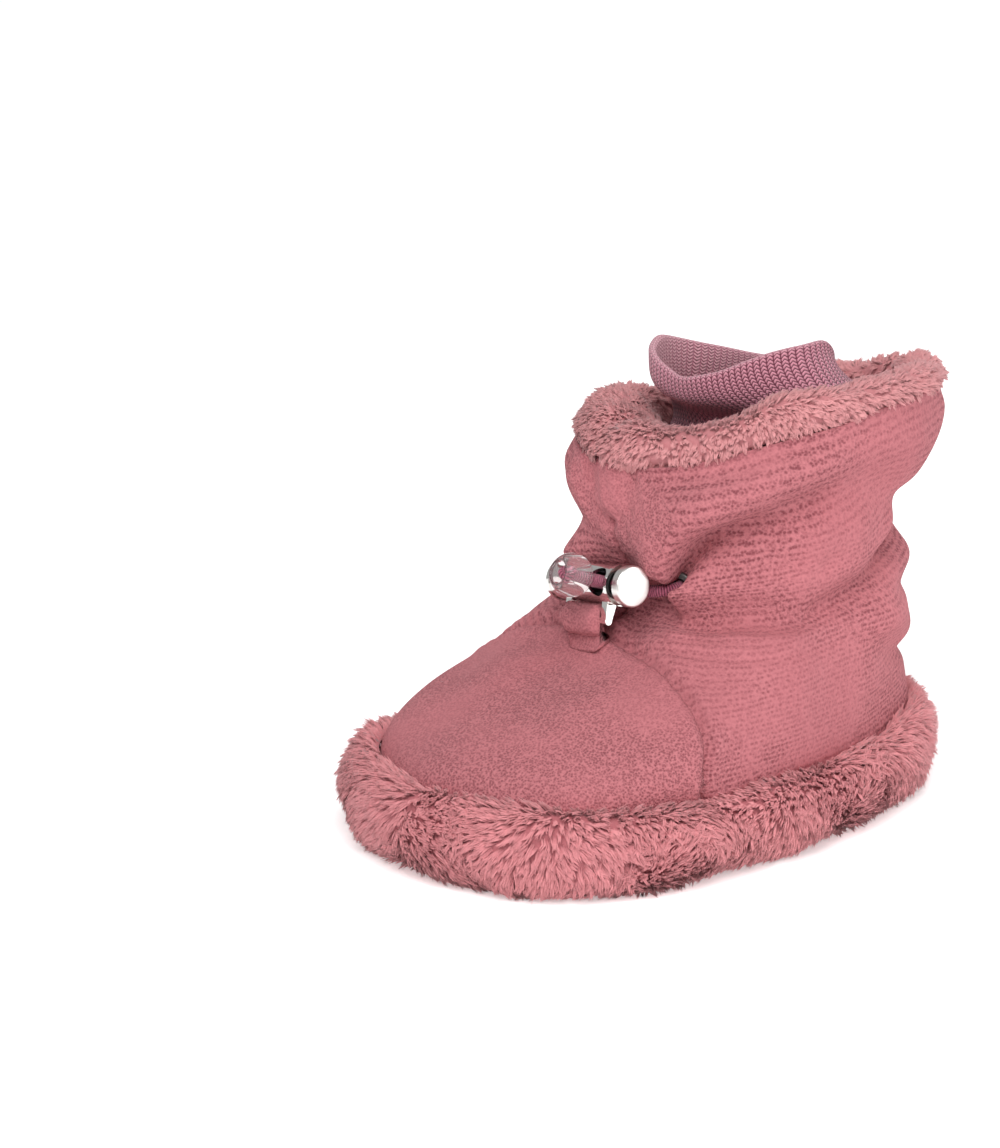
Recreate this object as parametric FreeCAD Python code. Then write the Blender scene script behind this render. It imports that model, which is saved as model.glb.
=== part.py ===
"""A soft baby bootie with a drawcord ankle, for the left or the right foot.

Frame: +Z up, the toe points along -Y, the sole rests on Z = 0 and the origin is the middle of the footprint.
Units are millimetres. The soft parts are plain closed solids of the true size and place; the metal cord lock,
its plunger and spring, the eyelets, the elastic cord and the clear cord end are modelled as they are made.
"""
import FreeCAD
import Part
import math
import os

Vector = FreeCAD.Vector

# Overall sizes of the bootie
boot_length = 132.0
boot_width = 86.0
shaft_height = 80.0

# Layers of the soft parts
shell_thickness = 2.0
lining_thickness = 2.4
casing_thickness = 0.8
layer_gap = 0.25
rand_width = 8.0
rand_height = 18.0
rand_lift = 0.4
sole_thickness = 1.6
dot_height = 0.6
dot_radius = 2.0
dot_pitch = 11.0
pad_thickness = 4.0
footbed_thickness = 2.5
collar_height = 9.0
collar_thickness = 5.8
vamp_seam_y = -17.0
seam_gap = 0.1

# Knitted inner cuff
cuff_thickness = 1.6
cuff_rise = 20.5
cuff_slope = -0.13
cuff_depth = 39.0
cuff_width = 30.0
cuff_centre_y = 22.5

# Elastic cord and its casing
cord_diameter = 2.4
cord_play = 0.5
casing_height = 13.0
casing_start = 0.34
strand_gap = 0.1
bend_run = 1.4

# Eyelets
eyelet_side = 10.0
eyelet_clearance = 0.75
eyelet_bore = cord_diameter + 2 * eyelet_clearance
eyelet_wall = 0.4
eyelet_flange = eyelet_bore + 2.3
eyelet_flange_thickness = 0.7
washer_thickness = 0.5

# Cord lock
barrel_diameter = 7.4
barrel_bore = 5.6
barrel_left = 15.0
barrel_right = 3.4
barrel_end_wall = 1.2
flange_diameter = 7.9
flange_width = 0.8
plunger_clearance = 0.05
plunger_travel = 1.6
plunger_head = 2.1
plunger_dome = 9.0
plunger_stem = 8.2
cross_clearance = 0.25
cross_hole = 2 * cord_diameter + strand_gap + 2 * cross_clearance
slot_height = 4.0
spring_wire = 0.5
spring_turns = 6
spring_side_clearance = 0.25
bail_span = 11.0
bail_bar = 1.6
bail_leg_width = 2.4
bail_drop = 7.0
lock_tilt_up = 21.0
lock_roll = 10.0
lock_standoff = 9.6
lock_rise = 1.8
tab_thickness = 1.7
tab_eye_clearance = 0.35
tab_side_clearance = 0.4

# Clear cord end
bead_diameter = 8.4
bead_gap = 1.9
bead_bore_clearance = 0.15
bead_cavity = 5.8
bead_mouth = 4.6
knot_diameter = 4.6

# Stations of the outer shell from the sole to the top of the shaft. Each gives its height, its front and back,
# the place of its widest point, its half width, how much the heel half narrows, how round its front and back
# are, and how much it rises towards the heel. Lengths are shares of boot_length, heights of shaft_height and
# half widths of boot_width.
STATIONS = [
    # height, front, back, widest, half width, narrowing, front power, back power, slope
    (0.030, -0.428, 0.433, -0.152, 0.398, 0.16, 2.20, 2.40, 0.00),
    (0.120, -0.437, 0.436, -0.152, 0.412, 0.16, 2.25, 2.40, 0.00),
    (0.215, -0.433, 0.438, -0.150, 0.416, 0.14, 2.20, 2.30, 0.00),
    (0.285, -0.378, 0.436, -0.114, 0.412, 0.12, 2.05, 2.20, 0.00),
    (0.355, -0.286, 0.434, -0.060, 0.400, 0.10, 1.90, 2.20, 0.00),
    (0.430, -0.195, 0.428, 0.000, 0.384, 0.07, 1.78, 2.20, 0.02),
    (0.505, -0.118, 0.416, 0.060, 0.360, 0.03, 1.74, 2.20, 0.06),
    (0.580, -0.062, 0.398, 0.120, 0.332, 0.00, 1.78, 2.20, 0.13),
    (0.650, -0.045, 0.380, 0.150, 0.316, 0.00, 1.82, 2.20, 0.18),
    (0.725, -0.062, 0.402, 0.165, 0.338, 0.00, 1.78, 2.25, 0.17),
    (0.825, -0.083, 0.442, 0.175, 0.360, 0.00, 1.74, 2.30, 0.15),
    (0.925, -0.072, 0.462, 0.182, 0.362, 0.00, 1.70, 2.30, 0.12),
]
SCALES = (shaft_height, boot_length, boot_length, boot_length, boot_width, 1, 1, 1, 1)
CINCH = 8
TOP = len(STATIONS) - 1
SLOPE_CENTRE_Y = 0.165 * boot_length
ANGLES = 19
END_LEVELS = 1.5


def station(level):
    """The station's sizes at a level between two stations, by a cubic through its four neighbours."""
    base = min(max(int(math.floor(level)), 0), TOP - 1)
    step = level - base
    rows = [STATIONS[min(max(base + k, 0), TOP)] for k in (-1, 0, 1, 2)]
    sizes = []
    for scale, a, b, c, d in zip(SCALES, *rows):
        slope_b = (c - a) / (1 if base == 0 else 2)
        slope_c = (d - b) / (1 if base == TOP - 1 else 2)
        cubic = (
            b * (1 + 2 * step) * (1 - step) ** 2
            + slope_b * step * (1 - step) ** 2
            + c * step**2 * (3 - 2 * step)
            + slope_c * step**2 * (step - 1)
        )
        sizes.append(scale * cubic)
    return sizes


def form_point(level, angle):
    """A point of the outer shell. Angle 0 is the front centre and pi the back centre, on the +X side."""
    height, front, back, widest, half, narrowing, front_power, back_power, slope = station(level)
    sine, cosine = abs(math.sin(angle)), math.cos(angle)
    power = front_power if cosine > 0 else back_power
    reach = abs(cosine) ** (2 / power)
    y = widest - (widest - front) * reach if cosine > 0 else widest + (back - widest) * reach
    x = half * sine ** (2 / power)
    if cosine < 0:
        x *= 1 - narrowing * reach**2
    if angle in (0.0, math.pi):
        x = 0.0
    return Vector(x, y, height + slope * (y - SLOPE_CENTRE_Y))


def form_normal(level, angle):
    """The outward normal of the outer shell, from small steps along and around it."""
    d = 0.01
    low, high = max(level - d, 0), min(level + d, TOP)
    a, b = max(angle - d, 0.0), min(angle + d, math.pi)
    up = form_point(high, angle) - form_point(low, angle)
    round_ = form_point(level, b) - form_point(level, a)
    normal = round_.cross(up)
    if angle in (0.0, math.pi):
        normal.x = 0.0
    return normal.normalize()


def skin_point(level, angle, inset):
    """A point inset from the outer shell along its normal, which is made level at the shell's two ends."""
    normal = form_normal(level, angle)
    normal.z *= min(1.0, level / END_LEVELS, (TOP - level) / END_LEVELS)
    point = form_point(level, angle) - normal.normalize() * inset
    if angle in (0.0, math.pi):
        point.x = 0.0
    else:
        point.x = max(point.x, 0.02)
    return point


def mirrored(shape):
    """The shape on the other side of the middle plane."""
    return shape.mirror(Vector(0, 0, 0), Vector(1, 0, 0))


def slab(outer, inner):
    """A closed solid between two grids of points with the same rows and columns."""
    skins = []
    for grid in (outer, inner):
        surface = Part.BSplineSurface()
        surface.interpolate(grid)
        skins.append(surface)
    faces = [s.toShape() for s in skins]
    u0, u1, v0, v1 = skins[0].bounds()
    p0, p1, q0, q1 = skins[1].bounds()
    pairs = [
        (skins[0].uIso(u0), skins[1].uIso(p0)),
        (skins[0].uIso(u1), skins[1].uIso(p1)),
        (skins[0].vIso(v0), skins[1].vIso(q0)),
        (skins[0].vIso(v1), skins[1].vIso(q1)),
    ]
    faces += [Part.makeRuledSurface(a.toShape(), b.toShape(), 1) for a, b in pairs]
    shell = Part.makeShell(faces)
    shell.sewShape(0.002)
    if shell.ShapeType != "Shell":
        shell = shell.Shells[0]
    solid = Part.makeSolid(shell)
    if solid.Volume < 0:
        solid.reverse()
    return solid


def grid_of(levels, inset_of, start=0.0, end=math.pi, place=skin_point):
    """Rows of points at the given levels, each spread evenly in angle. inset_of gives the inset at a level."""
    angles = [start + (end - start) * k / (ANGLES - 1) for k in range(ANGLES)]
    angles[0], angles[-1] = start, end
    return [[place(level, a, inset_of(level)) for a in angles] for level in levels]


def spread(low, high, count):
    """Evenly spaced values from low to high, both included."""
    return [low + (high - low) * k / (count - 1) for k in range(count)]


def whole(half):
    """One solid from a half and its mirror image."""
    return half.fuse(mirrored(half)).removeSplitter()


def level_at_front(y):
    """The level at which the front centre of the shell has the given Y, between the toe and the throat."""
    low, high = 2.0, float(CINCH)
    for _ in range(50):
        middle = (low + high) / 2
        if form_point(middle, 0.0).y < y:
            low = middle
        else:
            high = middle
    return low


# ---------------------------------------------------------------- soft parts

inner_of_shell = shell_thickness + layer_gap
cord_room = cord_diameter + 2 * cord_play
wall = inner_of_shell + layer_gap + lining_thickness
sole_top = dot_height + sole_thickness
station_height = (STATIONS[CINCH][0] - STATIONS[CINCH - 1][0]) * shaft_height
casing_half_levels = casing_height / 2 / station_height


def swell(level, half_levels):
    """One at the cinch, falling in half a cosine wave to nothing half_levels away."""
    away = abs(level - CINCH) / half_levels
    return (math.cos(math.pi * away) + 1) / 2 if away < 1 else 0.0


def casing_bulge(level):
    """How far the drawcord and its casing push the lining inwards."""
    return (cord_room + casing_thickness + 2 * layer_gap) * swell(level, 1.6 * casing_half_levels)


def lining_outside(level):
    """Inset of the lining's outer face."""
    return inner_of_shell + casing_bulge(level)


def lining_inside(level):
    """Inset of the lining's inner face."""
    return lining_outside(level) + lining_thickness


def shell_half():
    """The velour shell on the +X side, from the sole to the top of the shaft."""
    levels = spread(0, TOP, 3 * TOP + 1)
    return slab(grid_of(levels, lambda _: 0.0), grid_of(levels, lambda _: shell_thickness))


def lining_half():
    """The plush lining on the +X side."""
    levels = spread(0, TOP, 3 * TOP + 1)
    return slab(grid_of(levels, lining_outside), grid_of(levels, lining_inside))


def big_block(low_y, high_y):
    """A block wider and taller than the bootie between two Y values."""
    size = 3 * boot_length
    return Part.makeBox(size, high_y - low_y, size, Vector(-size / 2, low_y, -size / 2))


def front_of(half):
    """The part of a half and its mirror image ahead of the vamp seam, as one solid."""
    cut = half.common(big_block(-2 * boot_length, vamp_seam_y - seam_gap / 2))
    return whole(cut)


def behind(half):
    """The part of a half behind the vamp seam."""
    return half.common(big_block(vamp_seam_y + seam_gap / 2, 2 * boot_length))


def rand_solid():
    """The plush band round the sole: a D-shaped ring against the shell."""
    top = rand_height - rand_lift
    rows_out, rows_in = [], []
    for share in spread(0, 1, 7):
        z = rand_lift + top * share
        level = (z / shaft_height - STATIONS[0][0]) / (STATIONS[1][0] - STATIONS[0][0])
        level = max(level, 0.0)
        if level > 1:
            level = 1 + (z / shaft_height - STATIONS[1][0]) / (STATIONS[2][0] - STATIONS[1][0])
        round_out = math.sqrt(max(1 - (1.7 * share - 0.75) ** 2, 0.05))
        row_out, row_in = [], []
        for a in spread(0, math.pi, ANGLES):
            a = min(a, math.pi)
            inner = form_point(min(level, 2.0), a)
            outward = form_normal(1.0, a)
            outward.z = 0.0
            outward.normalize()
            inner.z = z
            clear = inner + outward * layer_gap
            row_in.append(clear)
            row_out.append(clear + outward * rand_width * round_out)
        for row in (row_in, row_out):
            row[0].x = 0.0
            row[-1].x = 0.0
        rows_in.append(row_in)
        rows_out.append(row_out)
    return whole(slab(rows_out, rows_in))


def flat_plate(inset, low, high):
    """A flat plate of the shell's lowest outline, inset by a distance."""
    points = []
    for a in spread(0, math.pi, ANGLES):
        point = skin_point(0.0, min(a, math.pi), inset)
        points.append(Vector(point.x, point.y, low))
    points[0].x = 0.0
    points[-1].x = 0.0
    curve = Part.BSplineCurve()
    curve.interpolate(points)
    edge = curve.toShape()
    wire = Part.Wire([edge, Part.makeLine(points[-1], points[0])])
    return whole(Part.Face(wire).extrude(Vector(0, 0, high - low)))


def outsole_solid():
    """The sole panel with its printed grip dots, which stand on the floor."""
    plate = flat_plate(0.0, dot_height, sole_top - layer_gap)
    inner = flat_plate(3 * dot_radius, dot_height, sole_top)
    dots = []
    rows = int(boot_length / dot_pitch / 2) + 1
    for i in range(-rows, rows + 1):
        for j in range(-rows, rows + 1):
            x = dot_pitch * (j + (0.5 if i % 2 else 0.0))
            y = dot_pitch * 0.866 * i
            if inner.isInside(Vector(x, y, dot_height + 0.3), 0.01, False):
                dots.append(Part.makeCylinder(dot_radius, dot_height + sole_thickness / 2, Vector(x, y, 0)))
    return plate.multiFuse(dots).removeSplitter()


def collar_solid():
    """The plush band that rolls over the top of the shaft."""
    slope = STATIONS[TOP][8]
    profile = [(0.0, 0.15), (0.18, -0.45), (0.42, -0.7), (0.68, -0.25), (0.9, 1.0), (1.0, 2.6)]
    outer, inner = [], []
    for share, inset in profile:
        row_out, row_in = [], []
        for a in spread(0, math.pi, ANGLES):
            a = min(a, math.pi)
            side = form_normal(TOP, a)
            side.z = 0.0
            side.normalize()
            base = form_point(TOP, a) + Vector(0, 0, layer_gap + collar_height * share)
            row_out.append(base - side * inset)
            row_in.append(base - side * (collar_thickness - inset))
        outer.append(row_out)
        inner.append(row_in)
    for rows in (outer, inner):
        for row in rows:
            row[0].x = 0.0
            row[-1].x = 0.0
    return whole(slab(outer, inner))


def cuff_point(share, angle, inset):
    """A point of the knitted cuff. Share 0 is its sewn lower edge inside the lining and 1 its folded top."""
    low_level = TOP - 1.35
    base = skin_point(low_level, angle, wall + casing_bulge(low_level) + inset)
    sine, cosine = abs(math.sin(angle)), math.cos(angle)
    top_y = cuff_centre_y - (cuff_depth / 2 - inset) * math.copysign(abs(cosine) ** 0.9, cosine)
    top_x = (cuff_width / 2 - inset) * sine**1.05
    front_top = form_point(TOP, 0.0).z + cuff_rise
    top = Vector(top_x, top_y, front_top + cuff_slope * (top_y - cuff_centre_y + cuff_depth / 2))
    ease = share * share * (3 - 2 * share)
    point = base + (top - base) * ease
    point.z = base.z + (top.z - base.z) * share
    if angle in (0.0, math.pi):
        point.x = 0.0
    return point


def cuff_solid():
    """The knitted tube that stands up out of the collar."""
    shares = spread(0, 1, 8)
    outer = grid_of(shares, lambda _: 0.0, place=cuff_point)
    inner = grid_of(shares, lambda _: cuff_thickness, place=cuff_point)
    return whole(slab(outer, inner))


def casing_solid():
    """The tape behind the shell that makes the drawcord's tunnel."""
    start = eyelet_angle() + casing_start
    levels = spread(CINCH - casing_half_levels, CINCH + casing_half_levels, 9)

    def outside(level):
        return inner_of_shell + cord_room * swell(level, casing_half_levels)

    half = slab(
        grid_of(levels, outside, start),
        grid_of(levels, lambda level: outside(level) + casing_thickness, start),
    )
    return whole(half)


# ---------------------------------------------------------------- drawcord and eyelets


def eyelet_angle():
    """The angle at which the cinch line is eyelet_side from the middle plane."""
    low, high = 0.01, math.pi / 2
    for _ in range(50):
        middle = (low + high) / 2
        if form_point(CINCH, middle).x < eyelet_side:
            low = middle
        else:
            high = middle
    return low


def eyelet_frame():
    """The eyelet's centre on the shell's outer face and the way it points."""
    angle = eyelet_angle()
    return form_point(CINCH, angle), form_normal(CINCH, angle)


def eyelet_solid():
    """A metal eyelet: a domed flange outside and a short tube through the shell."""
    centre, out = eyelet_frame()
    tube = eyelet_bore / 2 + eyelet_wall
    bottom = centre - out * (shell_thickness + washer_thickness)
    length = shell_thickness + washer_thickness + eyelet_flange_thickness
    body = Part.makeCylinder(tube, length, bottom, out)
    flange = Part.makeCylinder(eyelet_flange / 2, eyelet_flange_thickness, centre, out)
    rim = [e for e in flange.Edges if e.CenterOfMass.distanceToPoint(centre) > eyelet_flange_thickness / 2]
    outer_rim = [e for e in rim if isinstance(e.Curve, Part.Circle)]
    flange = flange.makeFillet(eyelet_flange_thickness * 0.6, outer_rim[:1])
    ring = body.fuse(flange)
    return ring.cut(Part.makeCylinder(eyelet_bore / 2, 4 * length, centre - out * 2 * length, out))


def washer_solid():
    """The ring clinched on the eyelet's tube behind the shell."""
    centre, out = eyelet_frame()
    bottom = centre - out * (shell_thickness + washer_thickness)
    disc = Part.makeCylinder(eyelet_flange / 2, washer_thickness, bottom, out)
    hole = eyelet_bore / 2 + eyelet_wall + 0.02
    return disc.cut(Part.makeCylinder(hole, 3 * washer_thickness, bottom - out * washer_thickness, out))


def eyelet_hole():
    """The hole punched through the shell for the eyelet's tube, with the seats its flange and washer press flat."""
    centre, out = eyelet_frame()
    deep = 3 * shell_thickness
    tube = Part.makeCylinder(eyelet_bore / 2 + eyelet_wall + 0.02, 2 * deep, centre - out * deep, out)
    seat = eyelet_flange / 2 + 0.1
    outer_seat = Part.makeCylinder(seat, deep, centre, out)
    inner_seat = Part.makeCylinder(seat, deep, centre - out * shell_thickness, out * -1)
    return tube.fuse([outer_seat, inner_seat])


def rounded_path(points, longest):
    """A wire of straight runs joined by tangent arcs, each as large as its two runs and the longest run allow."""
    edges, start = [], points[0]
    for before, corner, after in zip(points, points[1:], points[2:]):
        to_before, to_after = before - corner, after - corner
        run = min(longest, 0.45 * min(to_before.Length, to_after.Length))
        a, b = corner + to_before.normalize() * run, corner + to_after.normalize() * run
        half_turn = (to_before * -1).getAngle(to_after) / 2
        radius = run / math.tan(half_turn)
        bisector = (to_before + to_after).normalize()
        centre = corner + bisector * (radius / math.cos(half_turn))
        edges.append(Part.LineSegment(start, a).toShape())
        edges.append(Part.Arc(a, centre - bisector * radius, b).toShape())
        start = b
    edges.append(Part.LineSegment(start, points[-1]).toShape())
    return Part.Wire(edges)


def tube_along(points, diameter, longest=boot_length):
    """A round tube along a rounded path."""
    path = rounded_path(points, longest)
    ring = Part.Wire(Part.makeCircle(diameter / 2, points[0], points[1] - points[0]))
    return path.makePipeShell([ring], True, False)


def cord_exit(side):
    """Where the elastic cord leaves the eyelet on one side."""
    centre, out = eyelet_frame()
    point = centre + out * (eyelet_flange_thickness + 0.5)
    return Vector(side * point.x, point.y, point.z)


def elastic_cord_solid():
    """The elastic cord round the ankle inside its casing, from one eyelet's mouth to the other's."""
    centre, out = eyelet_frame()
    depth = inner_of_shell + cord_play + cord_diameter / 2
    start = eyelet_angle() + casing_start
    turns = [start + (math.pi - start) * k / 9 for k in range(10)]
    half = [cord_exit(1), centre - out * depth] + [skin_point(CINCH, a, depth) for a in turns[:-1]]
    back = skin_point(CINCH, math.pi, depth)
    other = [Vector(-p.x, p.y, p.z) for p in half]
    return tube_along(other + [back] + half[::-1], cord_diameter)


# ---------------------------------------------------------------- cord lock
# The lock's own frame: +x along the barrel towards the plunger's head, -y out of the front of the cross hole and
# -z towards the bail.


def lock_centre():
    """The middle of the cross hole."""
    throat = form_point(CINCH, 0.0)
    side = bail_span / 2 - 1.5
    return Vector(side, throat.y - lock_standoff, throat.z + lock_rise)


def lock_rotation():
    """Tilts the cross hole up and rolls the plunger end up."""
    tilt = FreeCAD.Rotation(Vector(1, 0, 0), -lock_tilt_up)
    roll = FreeCAD.Rotation(Vector(0, 1, 0), -lock_roll)
    return roll.multiply(tilt)


def to_world(point):
    """A point of the lock's frame in the bootie's frame."""
    return lock_centre() + lock_rotation().multVec(point)


def placed(shape):
    """A shape of the lock's frame put in its place."""
    shape.Placement = FreeCAD.Placement(lock_centre(), lock_rotation()).multiply(shape.Placement)
    return shape


def rod(radius, start, end):
    """A cylinder along the lock's x axis."""
    return Part.makeCylinder(radius, end - start, Vector(start, 0, 0), Vector(1, 0, 0))


def bail_solid():
    """The loop under the barrel: two tapered legs and a bar."""
    right = bail_bar / 2 - 0.2
    left = right - bail_span
    legs = []
    for x in (left, right):
        top = Part.makeBox(bail_bar, bail_leg_width, 0.01, Vector(x - bail_bar / 2, -bail_leg_width / 2, 0))
        low = bail_bar * 0.9
        section_top = Part.Wire(top.Faces[4].OuterWire.Edges)
        foot = Part.makeBox(bail_bar, low, 0.01, Vector(x - bail_bar / 2, -low / 2, 0))
        section_low = Part.Wire(foot.Faces[4].OuterWire.Edges)
        section_top.translate(Vector(0, 0, -barrel_bore / 2 - 0.3))
        section_low.translate(Vector(0, 0, -bail_drop))
        legs.append(Part.makeLoft([section_low, section_top], True, True))
    bar = rod(bail_bar / 2, left - bail_bar / 2, right + bail_bar / 2)
    bar.translate(Vector(0, 0, -bail_drop))
    return bar.multiFuse(legs)


def barrel_solid():
    """The lock's barrel: a blind bore for the plunger, a cross hole for the cord, end flanges and the bail."""
    body = rod(barrel_diameter / 2, -barrel_left, barrel_right)
    right_rim = rod(flange_diameter / 2, barrel_right - flange_width, barrel_right)
    left_rim = rod(flange_diameter / 2, -barrel_left, -barrel_left + flange_width)
    body = body.multiFuse([right_rim, left_rim, bail_solid()])
    bore = rod(barrel_bore / 2, -barrel_left + barrel_end_wall, barrel_right + 1)
    cross = Part.makeCylinder(cross_hole / 2, 2 * barrel_diameter, Vector(0, -barrel_diameter, 0), Vector(0, 1, 0))
    return body.cut(bore).cut(cross).removeSplitter()


def strands_width():
    """The width of the two strands side by side."""
    return 2 * cord_diameter + strand_gap


def plunger_solid():
    """The plunger: a stem with a slot for the cord and a round head to press."""
    radius = barrel_bore / 2 - plunger_clearance
    start = -plunger_stem
    head_start = barrel_right + plunger_travel + 0.1
    stem = rod(radius, start, head_start)
    head = rod(flange_diameter / 2, head_start, head_start + plunger_head)
    dome = Part.makeSphere(plunger_dome, Vector(head_start + plunger_head - plunger_dome, 0, 0))
    head = head.common(dome)
    rim = [e for e in head.Edges if isinstance(e.Curve, Part.Circle) and e.BoundBox.XMin > head_start + 0.1]
    head = head.makeFillet(plunger_head * 0.2, rim)
    low = -strands_width() / 2 - 0.1
    high = strands_width() / 2 + plunger_travel + 0.1
    slot = Part.makeBox(
        high - low, 4 * barrel_bore, slot_height, Vector(low, -2 * barrel_bore, -slot_height / 2)
    )
    return stem.fuse(head).cut(slot)


def spring_solid():
    """The compression spring between the barrel's closed end and the stem."""
    radius = barrel_bore / 2 - spring_side_clearance - spring_wire / 2
    start = -barrel_left + barrel_end_wall + spring_wire / 2 + 0.1
    end = -plunger_stem - spring_wire / 2 - 0.1
    pitch = (end - start) / spring_turns
    helix = Part.makeLongHelix(pitch, end - start, radius)
    tangent = Vector(0, 2 * math.pi * radius, pitch)
    circle = Part.Wire(Part.makeCircle(spring_wire / 2, Vector(radius, 0, 0), tangent))
    coil = Part.Wire(helix).makePipeShell([circle], True, True)
    coil.Placement = FreeCAD.Placement(
        Vector(start, 0, 0), FreeCAD.Rotation(Vector(0, 1, 0), 90)
    ).multiply(coil.Placement)
    return coil


def bead_centre_y():
    """The bead's centre on the cross hole's axis."""
    return -barrel_diameter / 2 - bead_gap - bead_diameter / 2


def bead_solid():
    """The clear cord end: a ball with a slot for the strands and a cavity for the knot, open at its far side."""
    centre = Vector(0, bead_centre_y(), 0)
    ball = Part.makeSphere(bead_diameter / 2, centre)
    cavity = Part.makeCone(bead_cavity / 2, bead_mouth / 2, bead_diameter, centre + Vector(0, 1.4, 0), Vector(0, -1, 0))
    entry_width = strands_width() / 2 + bead_bore_clearance
    entry = Part.makeBox(
        2 * entry_width,
        bead_diameter,
        cord_diameter + 2 * bead_bore_clearance,
        Vector(-entry_width, centre.y, -cord_diameter / 2 - bead_bore_clearance),
    )
    return ball.cut(cavity).cut(entry)


def knot_solid():
    """The knot that holds the strands in the cord end."""
    return Part.makeSphere(knot_diameter / 2, Vector(0, bead_centre_y() - 1.2, 0))


def strands_solid():
    """The cord's two strands, each from its eyelet's mouth through the lock to the knot."""
    knot_front = bead_centre_y() - 1.2 + knot_diameter / 2 + 0.05
    back = barrel_diameter / 2 + bend_run + 0.2
    strands = []
    for side in (-1, 1):
        x = side * (cord_diameter + strand_gap) / 2
        ends = [to_world(Vector(x, knot_front, 0)), to_world(Vector(x, back, 0))]
        mouth = cord_exit(side)
        _, out = eyelet_frame()
        out = Vector(side * out.x, out.y, out.z)
        route = ends + [mouth + out * 2.2, mouth + out * 0.1]
        strands.append(tube_along(route, cord_diameter, bend_run))
    return Part.makeCompound(strands)


def tab_solid():
    """The velour loop that holds the bail and is sewn into the vamp seam."""
    eye = bail_bar / 2 + tab_eye_clearance
    outer = eye + tab_thickness
    seam = form_point(level_at_front(vamp_seam_y), 0.0)
    width = bail_span - bail_bar - 2 * tab_side_clearance
    middle = bail_bar / 2 - 0.2 - bail_span / 2
    foot = lock_rotation().inverted().multVec(seam - lock_centre())
    eye_centre = Vector(middle - width / 2, 0, -bail_drop)
    to_foot = Vector(0, foot.y, foot.z + bail_drop)
    reach = to_foot.Length
    down = to_foot * (1 / reach)
    across = Vector(0, -down.z, down.y)
    base = tab_thickness
    touch = math.acos((outer - base) / reach)
    corners = []
    for side in (1, -1):
        tangent = down * math.cos(touch) + across * side * math.sin(touch)
        corners.append((eye_centre + tangent * outer, eye_centre + down * (reach + 0.4) + across * side * base))
    (a, b), (c, d) = corners
    far = eye_centre - down * outer
    outline = Part.Wire(
        [
            Part.Arc(a, far, c).toShape(),
            Part.makeLine(c, d),
            Part.makeLine(d, b),
            Part.makeLine(b, a),
        ]
    )
    body = Part.Face(outline).extrude(Vector(width, 0, 0))
    bore = Part.makeCylinder(eye, 2 * width, eye_centre - Vector(width / 2, 0, 0), Vector(1, 0, 0))
    return body.cut(bore)


def build():
    """Every piece of the bootie by name."""
    shell, lining = shell_half(), lining_half()
    quarter, hole = behind(shell), eyelet_hole()
    lining_rear = behind(lining)
    tab = placed(tab_solid()).cut([shell, mirrored(shell)])
    pieces = {
        "outsole": outsole_solid(),
        "sole_pad": flat_plate(wall + layer_gap, sole_top, sole_top + pad_thickness),
        "footbed": flat_plate(
            wall + layer_gap,
            sole_top + pad_thickness + layer_gap,
            sole_top + pad_thickness + layer_gap + footbed_thickness,
        ),
        "sole_rand": rand_solid(),
        "vamp": front_of(shell),
        "quarter_left": quarter.cut(hole),
        "quarter_right": mirrored(quarter.cut(hole)),
        "vamp_lining": front_of(lining),
        "lining_left": lining_rear,
        "lining_right": mirrored(lining_rear),
        "collar_band": collar_solid(),
        "knit_cuff": cuff_solid(),
        "cord_casing": casing_solid(),
        "elastic_cord": elastic_cord_solid(),
        "eyelet_left": eyelet_solid(),
        "eyelet_right": mirrored(eyelet_solid()),
        "washer_left": washer_solid(),
        "washer_right": mirrored(washer_solid()),
        "tab_loop": tab,
        "lock_barrel": placed(barrel_solid()),
        "lock_plunger": placed(plunger_solid()),
        "lock_spring": placed(spring_solid()),
        "cord_strands": strands_solid(),
        "cord_end_bead": placed(bead_solid()),
        "cord_knot": placed(knot_solid()),
    }
    return pieces


def main():
    """Writes one STEP file per piece."""
    os.makedirs("parts", exist_ok=True)
    for name, shape in build().items():
        box = shape.BoundBox
        print(
            f"{name:16s} valid={shape.isValid()} solids={len(shape.Solids)} volume={shape.Volume:9.1f}"
            f" x {box.XMin:6.1f} {box.XMax:6.1f} y {box.YMin:6.1f} {box.YMax:6.1f} z {box.ZMin:6.1f} {box.ZMax:6.1f}"
        )
        shape.exportStep(f"parts/{name}.step")


if __name__ == "__main__":
    main()
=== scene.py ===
import logging
import math
from dataclasses import dataclass
from enum import Enum

import bmesh
import bpy
import numpy as np
from mathutils import Matrix, Vector


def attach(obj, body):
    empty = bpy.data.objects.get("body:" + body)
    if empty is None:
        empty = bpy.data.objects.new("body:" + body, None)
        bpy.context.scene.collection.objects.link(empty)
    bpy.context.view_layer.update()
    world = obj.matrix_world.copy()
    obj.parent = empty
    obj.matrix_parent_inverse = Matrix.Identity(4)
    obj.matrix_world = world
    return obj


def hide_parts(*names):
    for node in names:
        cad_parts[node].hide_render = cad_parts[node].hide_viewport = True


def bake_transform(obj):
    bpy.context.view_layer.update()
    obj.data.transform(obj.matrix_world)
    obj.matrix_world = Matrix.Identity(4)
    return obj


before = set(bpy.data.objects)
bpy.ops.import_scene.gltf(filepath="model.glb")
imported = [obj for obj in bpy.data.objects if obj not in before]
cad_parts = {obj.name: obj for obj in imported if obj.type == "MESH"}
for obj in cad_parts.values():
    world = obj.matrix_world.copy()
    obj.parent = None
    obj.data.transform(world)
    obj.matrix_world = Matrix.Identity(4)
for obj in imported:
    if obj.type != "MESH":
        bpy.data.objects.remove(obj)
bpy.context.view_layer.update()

MM = 0.001
UP = np.array([0.0, 0.0, 1.0])
FLAT = np.array([1.0, 1.0, 0.0])
log = logging.getLogger("bootie")


# ------------------------------------------------------------------ arrays


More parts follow.
